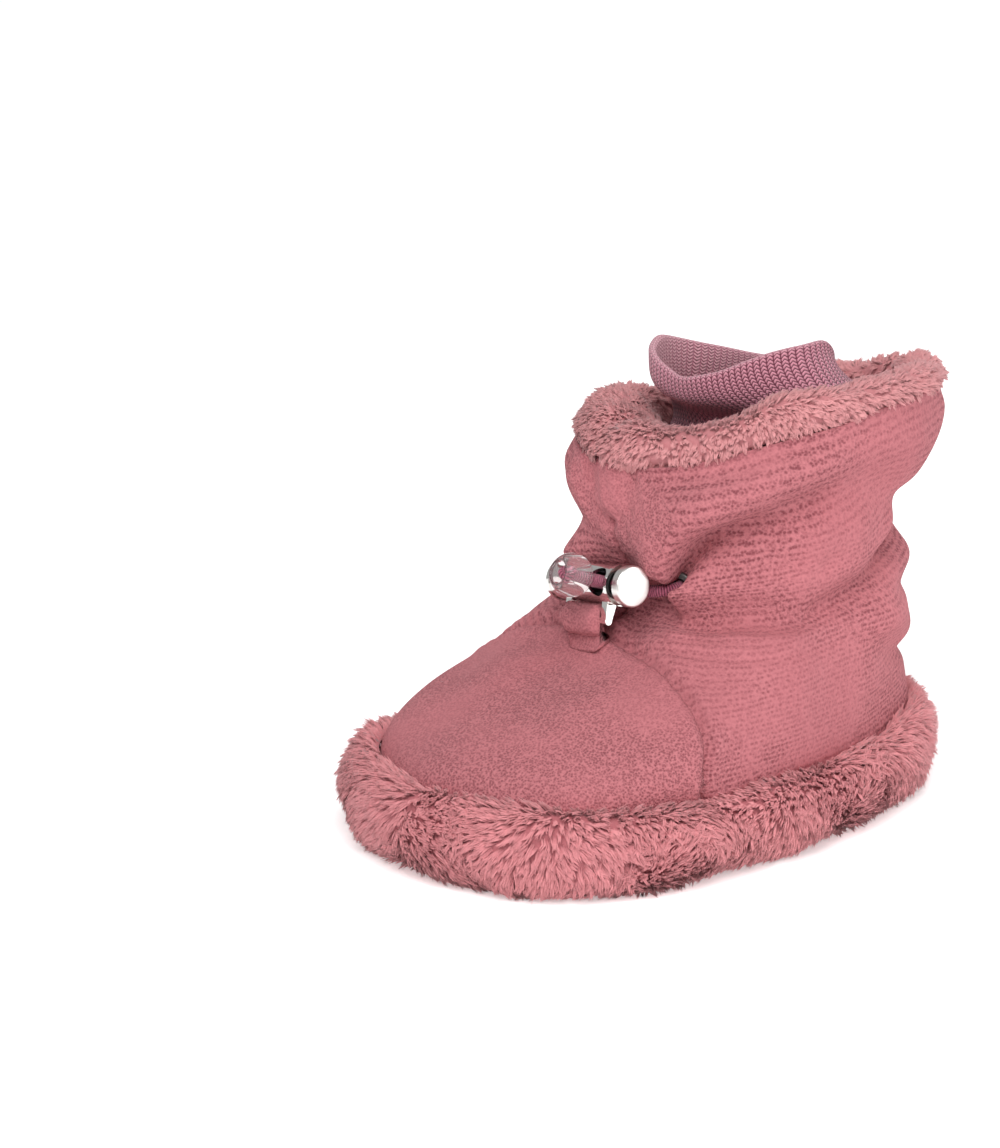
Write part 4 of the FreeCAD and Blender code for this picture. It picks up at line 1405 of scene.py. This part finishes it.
@dataclass
class Sole:
    """The sole cloth with its grip dots, and the footbed."""

    dot_pitch: float = 11.0
    dot_radius: float = 2.0

    def plate(self, name: str, inset: float, low: float, high: float, crown: float) -> bpy.types.Object:
        """A plate of the sole's outline: concentric outlines whose edge is rounded, crowned a little in the
        middle.

        Args:
            name: the piece's name.
            inset: how far in its edge is.
            low: its underside's height.
            high: its top's height.
            crown: how much higher the middle of the top is.

        Returns:
            The piece.
        """
        steps, columns = 24, 180
        share = np.concatenate([np.linspace(0.0, 1.0, steps), np.linspace(1.0, 0.0, steps)])
        top = np.repeat([0.0, 1.0], steps)
        angle = np.linspace(-math.pi, math.pi, columns, endpoint=False)
        outline = FORM.skin(np.zeros(columns), angle, inset)
        grid = outline[None] * share[:, None, None]
        edge = np.minimum((1 - share) * 30.0, 1.0)
        round_off = np.sqrt(np.clip(1 - (1 - edge) ** 2, 0, 1))
        half = (high - low) / 2
        above, below = half * round_off + crown * (1 - share**2), -half * round_off
        height = low + half + np.where(top > 0, above, below)
        grid[..., 2] = height[:, None]
        quads = grid_quads(2 * steps, columns, wrap=True)[:, ::-1]
        return new_mesh(name, grid.reshape(-1, 3), [quads], "boot")

    def build(self) -> None:
        """Makes the sole cloth, the dots and the footbed."""
        bottom = self.plate("sole_cloth", 0.0, 0.6, 2.2, 0.0)
        cloth("sole_weave", ROSE.sole, 1300.0).dress(bottom)
        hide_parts("outsole")
        bed = self.plate("footbed_plush", 4.9, 6.4, 9.0, 0.4)
        cloth("footbed_pile", ROSE.plush_tip, 700.0).dress(bed)
        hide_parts("footbed")
        self.dots()

    def dots(self) -> None:
        """Makes the grip dots: low domes in staggered rows inside the sole's edge."""
        i, j = np.meshgrid(np.arange(-7, 8), np.arange(-7, 8), indexing="ij")
        x = self.dot_pitch * (j + np.where(i % 2 == 0, 0.0, 0.5)).ravel()
        y = self.dot_pitch * 0.866 * i.ravel()
        outline = FORM.skin(np.zeros(400), np.linspace(-math.pi, math.pi, 400), 6.5)
        side = outline[200:][np.argsort(outline[200:, 1])]
        edge = np.interp(y, side[:, 1], side[:, 0], left=-1, right=-1)
        keep = np.abs(x) < edge
        centres = np.stack([x[keep], y[keep]], -1)
        sides = 16
        turn = np.linspace(0, 2 * math.pi, sides, endpoint=False)
        rings = [(1.0, 0.95), (0.97, 0.45), (0.82, 0.12), (0.5, 0.0)]
        radius, height = np.repeat(np.array(rings), sides, 0).T
        round_dot = np.tile(turn, len(rings))
        flat = self.dot_radius * radius
        profile = np.stack([flat * np.cos(round_dot), flat * np.sin(round_dot), height], -1)
        profile = np.concatenate([profile, [[0, 0, 0.0]]])
        quads = grid_quads(len(rings), sides, wrap=True)[:, ::-1]
        k, last, tip = np.arange(sides), (len(rings) - 1) * sides, len(rings) * sides
        fan = np.stack([last + k, np.full(sides, tip), last + (k + 1) % sides], -1)
        base = (np.arange(len(centres)) * (tip + 1))[:, None, None]
        points = profile[None] + np.concatenate([centres, np.zeros((len(centres), 1))], 1)[:, None]
        faces = [(quads[None] + base).reshape(-1, 4), (fan[None] + base).reshape(-1, 3)]
        piece = new_mesh("grip_dots", points.reshape(-1, 3), faces, "boot")
        finish = Finish("grip_rubber", Roughness=0.45, Specular_IOR_Level=0.4)
        grain = finish.noise(finish.place(), 1200.0, 2.0, 0.5)
        finish.paint("Base Color", finish.blend((0.36, 0.14, 0.16), (0.46, 0.19, 0.21), grain))
        finish.bump(grain, 0.05, 0.5)
        finish.dress(piece)


# ------------------------------------------------------------------ drawcord


class LockFrame:
    """The cord lock's own frame: x along the barrel, -y out of the front of its cross hole, -z towards the
    bail."""

    CENTRE = np.array([4.0, -15.54, 48.8104])
    X = np.array([0.98480775, 0.0, 0.17364818])
    Y = np.array([0.06222994, 0.93358043, -0.35292354])
    Z = np.array([-0.16211454, 0.35836795, 0.91939724])

    @classmethod
    def place(cls, points: np.ndarray) -> np.ndarray:
        """Places of the lock's frame in the bootie's frame."""
        points = np.asarray(points, float)
        return cls.CENTRE + points[..., :1] * cls.X + points[..., 1:2] * cls.Y + points[..., 2:3] * cls.Z


def tube(
    name: str,
    body: str,
    path: np.ndarray,
    radius: float,
    closed: bool = False,
    sides: int = 20,
    rib: float = 0.0,
) -> bpy.types.Object:
    """A round tube carried along a path, with ribs across it if wanted.

    Args:
        name: the piece's name.
        body: the CAD body that it rides on.
        path: the middle line's places, evenly spaced.
        radius: the tube's radius.
        closed: whether the path is a loop.
        sides: how many sides the tube has.
        rib: how high the ribs are.

    Returns:
        The piece.
    """
    tangent = np.roll(path, -1, 0) - np.roll(path, 1, 0) if closed else np.gradient(path, axis=0)
    tangent = unit(tangent)
    one = unit(np.cross(np.broadcast_to([0.0, 0.15, 1.0], path.shape), tangent))
    two = np.cross(tangent, one)
    turn = np.linspace(0, 2 * math.pi, sides, endpoint=False)
    along = np.concatenate([[0], np.cumsum(np.linalg.norm(np.diff(path, axis=0), axis=1))])
    size = radius - rib * (0.5 - 0.5 * np.cos(along * 2 * math.pi / 0.62))
    ring = one[:, None] * np.cos(turn)[None, :, None] + two[:, None] * np.sin(turn)[None, :, None]
    points = path[:, None] + ring * size[:, None, None]
    across = np.repeat((turn / (2 * math.pi))[None], len(path), 0)
    uv = np.stack([across, np.repeat(along[:, None], sides, 1)], -1)
    quads = grid_quads(len(path), sides, wrap=True)[:, ::-1]
    faces = [quads]
    if closed:
        last, first = (len(path) - 1) * sides + np.arange(sides), np.arange(sides)
        faces.append(np.stack([last, first, np.roll(first, -1), np.roll(last, -1)], -1)[:, ::-1])
    else:
        faces += [np.arange(sides)[None], ((len(path) - 1) * sides + np.arange(sides))[::-1][None]]
    return new_mesh(name, points.reshape(-1, 3), faces, body, uv=uv.reshape(-1, 2))


@dataclass
class Drawcord:
    """The elastic cord: round the ankle in its casing, out of the eyelets, through the lock and into the
    cord end."""

    radius: float = 1.2
    gap: float = 0.1
    depth: float = 3.85

    def exit(self, side: int) -> tuple[np.ndarray, np.ndarray]:
        """Where a strand leaves its eyelet, and the way it points."""
        flip = np.array([side, 1.0, 1.0])
        return FORM.EYELET * flip, FORM.EYELET_OUT * flip

    def build(self) -> None:
        """Makes the cord's three stretches."""
        finish = ribbed_cord("elastic_rib")
        ankle = np.linspace(0.76, math.pi, 10)
        level = np.full(ankle.shape, float(FORM.CINCH))
        right = FORM.lean(FORM.skin(level, ankle, self.depth - FORM.dip(level, ankle)))
        left = FORM.lean(FORM.skin(level, -ankle, self.depth - FORM.dip(level, -ankle)))
        mouth, out = self.exit(1)
        other, away = self.exit(-1)
        start = [mouth + out * 1.2, mouth - out * 1.4, mouth - out * 3.6]
        end = [other - away * 3.6, other - away * 1.4, other + away * 1.2]
        route = [*start, *right, *left[:-1][::-1], *end]
        loop = tube("ankle_cord", "boot", smooth_route(route, 0.2), self.radius)
        finish.dress(loop)
        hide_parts("elastic_cord")
        for name, side in (("strand_left", 1), ("strand_right", -1)):
            mouth, out = self.exit(side)
            x = side * (2 * self.radius + self.gap) / 2
            behind = LockFrame.place(np.array([[x, -1.0, 0], [x, 3.0, 0], [x * 1.05, 6.2, -0.2]]))
            route = [*behind, mouth + out * 2.6, mouth - out * 0.6]
            piece = tube(name, "", smooth_route(route, 0.12), self.radius)
            finish.dress(piece)
            start, end = mouth + out * 0.8, LockFrame.place(np.array([x, 3.6, 0]))
            tuple(start * MM)
            tuple(end * MM)
            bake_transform(piece)
            through = [[x, 0.6], [x, -2.0], [x * 0.98, -4.5], [x * 0.85, -7.5], [x * 0.6, -10.4]]
            route = LockFrame.place(np.array([[*place, 0.0] for place in through]))
            piece = tube(name + "_end", "", smooth_route(list(route), 0.12), self.radius)
            finish.dress(piece)
            start, end = LockFrame.place(np.array([[x, -2.5, 0], [x, -5.0, 0]]))
            tuple(start * MM)
            tuple(end * MM)
            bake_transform(piece)
            if side > 0:
                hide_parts("cord_strands")
        log.info("drawcord made")


@dataclass
class CordEnd:
    """The clear cord end and the knot inside it."""

    radius: float = 4.2
    centre: float = -9.8

    def build(self) -> None:
        """Makes the clear ball, turned from a profile, and the knot of two crossing loops."""
        sides = 64
        turn = np.linspace(0, 2 * math.pi, sides, endpoint=False)
        outer = np.linspace(0.62, math.pi - 0.62, 30)
        profile = [(self.radius * math.sin(a), -self.radius * math.cos(a)) for a in outer]
        inner = [(2.2, 3.2), (2.75, 2.4), (2.85, 0.5), (2.85, -1.2), (2.6, -2.6), (2.45, -3.2)]
        ring = np.array(profile + inner)
        radius, along = ring[:, 0], ring[:, 1]
        local = np.stack(
            [
                radius[:, None] * np.cos(turn)[None],
                np.repeat((self.centre - along)[:, None], sides, 1),
                radius[:, None] * np.sin(turn)[None],
            ],
            -1,
        )
        quads = grid_quads(len(ring), sides, wrap=True)
        last, first = (len(ring) - 1) * sides + np.arange(sides), np.arange(sides)
        closing = np.stack([last, np.roll(last, -1), np.roll(first, -1), first], -1)
        places = LockFrame.place(local).reshape(-1, 3)
        piece = new_mesh("cord_end_clear", places, [quads, closing], "cord_end")
        clear_plastic("clear_moulding").dress(piece)
        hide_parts("cord_end_bead")
        t = np.linspace(0, 2 * math.pi, 240, endpoint=False)
        x, y, z = np.sin(t) + 2 * np.sin(2 * t), np.sin(3 * t) * 0.9, np.cos(t) - 2 * np.cos(2 * t)
        knot = np.stack([x, y, z], -1) * 0.42
        path = LockFrame.place(knot + np.array([0.0, self.centre - 0.9, 0.0]))
        piece = tube("cord_knot_tied", "cord_end", path, 0.95, closed=True, rib=0.06)
        ribbed_cord("knot_rib").dress(piece)
        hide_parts("cord_knot")


@dataclass
class Tab:
    """The velour tab that holds the lock's bail: a strap folded round the bar and sewn into the toe seam."""

    half_width: float = 4.35
    bar: tuple[float, float, float] = (-4.9, 0.0, -7.0)
    eye: float = 1.2
    strap: float = 1.8
    cover: float = 2.4
    foot_level: float = 6.35
    toe_level: float = 5.6
    heel_level: float = 5.9

    def from_bar(self, level: float) -> np.ndarray:
        """How far the velour's front centre at a level is from the bar, along the lock's y and z axes."""
        offset = FORM.velour_surface(np.array([level]), np.array([0.0]))[0] - LockFrame.CENTRE
        return np.array([offset @ LockFrame.Y - self.bar[1], offset @ LockFrame.Z - self.bar[2]])

    def build(self) -> None:
        """Makes the strap: a closed outline round the bar and down to the seam, carried across its width with
        rounded edges. On its -X side it goes on past its edge as a short web that covers the bail."""
        down = self.from_bar(self.foot_level)
        down = down / np.hypot(*down)
        across = np.array([-down[1], down[0]])
        turn = np.linspace(-0.5 * math.pi - 0.25, 0.5 * math.pi + 0.25, 40)
        arc = -np.cos(turn)[:, None] * down + np.sin(turn)[:, None] * across
        run = np.linspace(0.12, 1.0, 16)[:, None]
        size = self.eye + self.strap
        outer = [p * size for p in arc]
        toe = self.from_bar(self.toe_level) + np.array([-0.5, -0.2])
        heel = self.from_bar(self.heel_level) + np.array([0.6, -0.8])
        first, second = (toe, heel) if across[0] > 0 else (heel, toe)
        other = arc[0] * size + (first - arc[0] * size) * run
        leg = arc[-1] * size + (second - arc[-1] * size) * run
        outline = np.array([*other[::-1], *outer, *leg])
        covered = np.linspace(-self.half_width - self.cover, -self.half_width, 12)[:-1]
        x = np.concatenate([covered, np.linspace(-self.half_width, self.half_width, 28)])
        edge = 1 - 0.30 * np.clip((x - self.half_width + 1.0) / 1.0, 0, 1) ** 2
        fade = np.clip((-self.half_width - x) / self.cover, 0, 1)
        ripple = 0.10 * np.sin(outline @ down * 2.6)[None] * np.cos(x * 0.3)[:, None]
        fullness = edge * (1 + 0.05 * np.cos(x * 0.36)) * (1 - 0.35 * fade**2)
        shape = outline[None] * fullness[:, None, None] * (1 + ripple[..., None] * 0.5)
        ahead = np.where(fade[:, None] > 0, np.minimum(shape[..., 0], -1.55), shape[..., 0])
        lowest = np.where(fade > 0, -1.8 + 2.6 * fade, -99.0)[:, None]
        rise = np.maximum(shape[..., 1], lowest)
        local = np.zeros((len(x), len(outline), 3))
        local[..., 0] = (self.bar[0] + x)[:, None]
        local[..., 1] = self.bar[1] + ahead
        local[..., 2] = self.bar[2] + rise
        points = LockFrame.place(local).reshape(-1, 3)
        rows, columns = len(x), len(outline)
        quads = grid_quads(rows, columns, wrap=True)
        caps = [np.arange(columns)[::-1][None], ((rows - 1) * columns + np.arange(columns))[None]]
        piece = new_mesh("tab_velour", points, [quads, *caps], "boot")
        velour("velour_tab", Nap.PEBBLED).dress(piece)
        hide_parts("tab_loop")


def lathe(name: str, body: str, profile: np.ndarray, sides: int = 72) -> bpy.types.Object:
    """A round piece turned from a profile about the barrel's axis.

    Args:
        name: the piece's name.
        body: the CAD body that it rides on.
        profile: places along the axis and their radii, from its -x end to its +x end.
        sides: how many sides the piece has.

    Returns:
        The piece.
    """
    turn = np.linspace(0, 2 * math.pi, sides, endpoint=False)
    local = np.zeros((len(profile), sides, 3))
    local[..., 0] = profile[:, :1]
    local[..., 1] = profile[:, 1:] * np.cos(turn)
    local[..., 2] = profile[:, 1:] * np.sin(turn)
    quads = grid_quads(len(profile), sides, wrap=True)
    return new_mesh(name, LockFrame.place(local).reshape(-1, 3), [quads], body)


class Hardware:
    """The metal pieces and the foam pad, which keep their CAD shapes, and a satin cap over the plunger's
    head. START and TOP are the cap's ends along the barrel, and DOME is the radius of its dome."""

    START, DOME, TOP, RADIUS = 5.07, 22.0, 7.23, 3.98

    def cap(self, finish: Finish) -> None:
        """Makes the cap: a short cylinder with rounded edges under a shallow dome."""
        edge = self.TOP - self.DOME + math.sqrt(self.DOME**2 - self.RADIUS**2)
        round_off = np.linspace(0, math.pi / 2, 7)
        low, wide, small = self.START, self.RADIUS, 0.42
        side = [(low, 0.001), (low, wide - 0.25), (low + 0.1, wide - 0.04), (low + 0.25, wide)]
        side += [(edge - 0.35 + small * math.sin(t), wide - small * (1 - math.cos(t))) for t in round_off]
        radii = np.linspace(self.RADIUS - 0.5, 0.001, 26)
        dome = [(self.TOP - self.DOME + math.sqrt(self.DOME**2 - r * r), r) for r in radii]
        piece = lathe("plunger_cap", "plunger", np.array(side + dome))
        finish.dress(piece)

    def build(self) -> None:
        """Dresses the nodes that keep their CAD shapes, and makes the cap."""
        nodes = {name: bpy.data.objects.get(name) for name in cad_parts}
        nickel("nickel_polished").dress(nodes["lock_barrel"])
        # the eyelets are painted nearly black, as painted shade, so they read as the shadowed crease round
        # them
        nickel("eyelet_painted_shade", 0.45, 0.14).dress(nodes["eyelet_left"], nodes["eyelet_right"])
        self.cap(nickel("nickel_cap", 0.30))
        plunger_finish("plunger_capped").dress(nodes["lock_plunger"])
        nickel("nickel_washer", 0.2).dress(nodes["washer_left"], nodes["washer_right"])
        nickel("spring_wire", 0.25).dress(nodes["lock_spring"])
        cloth("foam_sheet", (0.75, 0.70, 0.68), 600.0).dress(nodes["sole_pad"])


# ------------------------------------------------------------------ studio


@dataclass(frozen=True)
class Camera:
    """The camera's place: it looks at a target from a distance, with the target off the middle of the
    view."""

    azimuth: float = 52.0
    elevation: float = 17.0
    distance: float = 950.0
    target: tuple[float, float, float] = (0.0, 0.0, 45.0)
    right: float = 30.8
    up: float = -1.9
    lens: float = 154.9

    def build(self) -> None:
        """Makes the camera and gives it to the scene."""
        a, e = math.radians(self.azimuth), math.radians(self.elevation)
        back = Vector((math.sin(a) * math.cos(e), -math.cos(a) * math.cos(e), math.sin(e)))
        right = Vector((math.cos(a), math.sin(a), 0.0))
        up = back.cross(right)
        place = Vector(self.target) + back * self.distance - right * self.right - up * self.up
        data = bpy.data.cameras.new("camera")
        data.sensor_width, data.sensor_fit, data.lens = 36.0, "AUTO", self.lens
        data.clip_start, data.clip_end = 0.05, 20.0
        camera = bpy.data.objects.new("camera", data)
        rotation = Matrix((right, up, back)).transposed().to_4x4()
        camera.matrix_world = Matrix.Translation(place * MM) @ rotation
        bpy.context.scene.collection.objects.link(camera)
        bpy.context.scene.camera = camera


class Studio:
    """A pale floor, a pale room and soft lights."""

    HALF_FLOOR = 3000.0

    def light(self, name: str, place: tuple[float, float, float], size: float, power: float) -> None:
        """Adds a square soft light that faces the bootie.

        Args:
            name: the light's name.
            place: where it is, in metres.
            size: its side, in metres.
            power: its power, in watts.
        """
        data = bpy.data.lights.new(name, "AREA")
        data.size, data.energy = size, power
        lamp = bpy.data.objects.new(name, data)
        lamp.location = place
        lamp.rotation_euler = (Vector(place) - Vector((0, 0, 0.04))).to_track_quat("Z", "Y").to_euler()
        bpy.context.scene.collection.objects.link(lamp)

    def build(self) -> None:
        """Makes the floor, the room's light and the lamps."""
        corners = np.array([[-1, -1, 0], [1, -1, 0], [1, 1, 0], [-1, 1, 0]]) * self.HALF_FLOOR
        floor = new_mesh("floor", corners, [np.array([[0, 1, 2, 3]])], "")
        glow = {"Emission_Color": (1, 1, 1, 1), "Emission_Strength": 0.35}
        Finish("floor_paper", Base_Color=(0.92, 0.92, 0.92, 1.0), Roughness=0.9, **glow).dress(floor)
        world = bpy.data.worlds.new("room")
        world.use_nodes = True
        world.node_tree.nodes["Background"].inputs[0].default_value = (1.0, 1.0, 1.0, 1.0)
        world.node_tree.nodes["Background"].inputs[1].default_value = 0.42
        bpy.context.scene.world = world
        self.light("key", (0.62, -0.62, 0.95), 0.85, 14.0)
        self.light("fill", (0.95, 0.62, 0.16), 1.0, 6.0)
        self.light("rim", (-0.3, 0.7, 1.0), 0.6, 3.0)
        bpy.context.scene.view_settings.view_transform = "Standard"


def main() -> None:
    """Builds every piece in order and reports each."""
    logging.basicConfig(level=logging.INFO, format="%(message)s")
    Camera().build()
    Studio().build()
    soft = (Upper(), SoleBand(), Collar(), Casing(), Cuff(), Sole())
    for maker in (*soft, Drawcord(), CordEnd(), Tab(), Hardware()):
        maker.build()
        log.info("built %s", type(maker).__name__)
    bpy.context.view_layer.update()


if __name__ == "__main__":
    main()
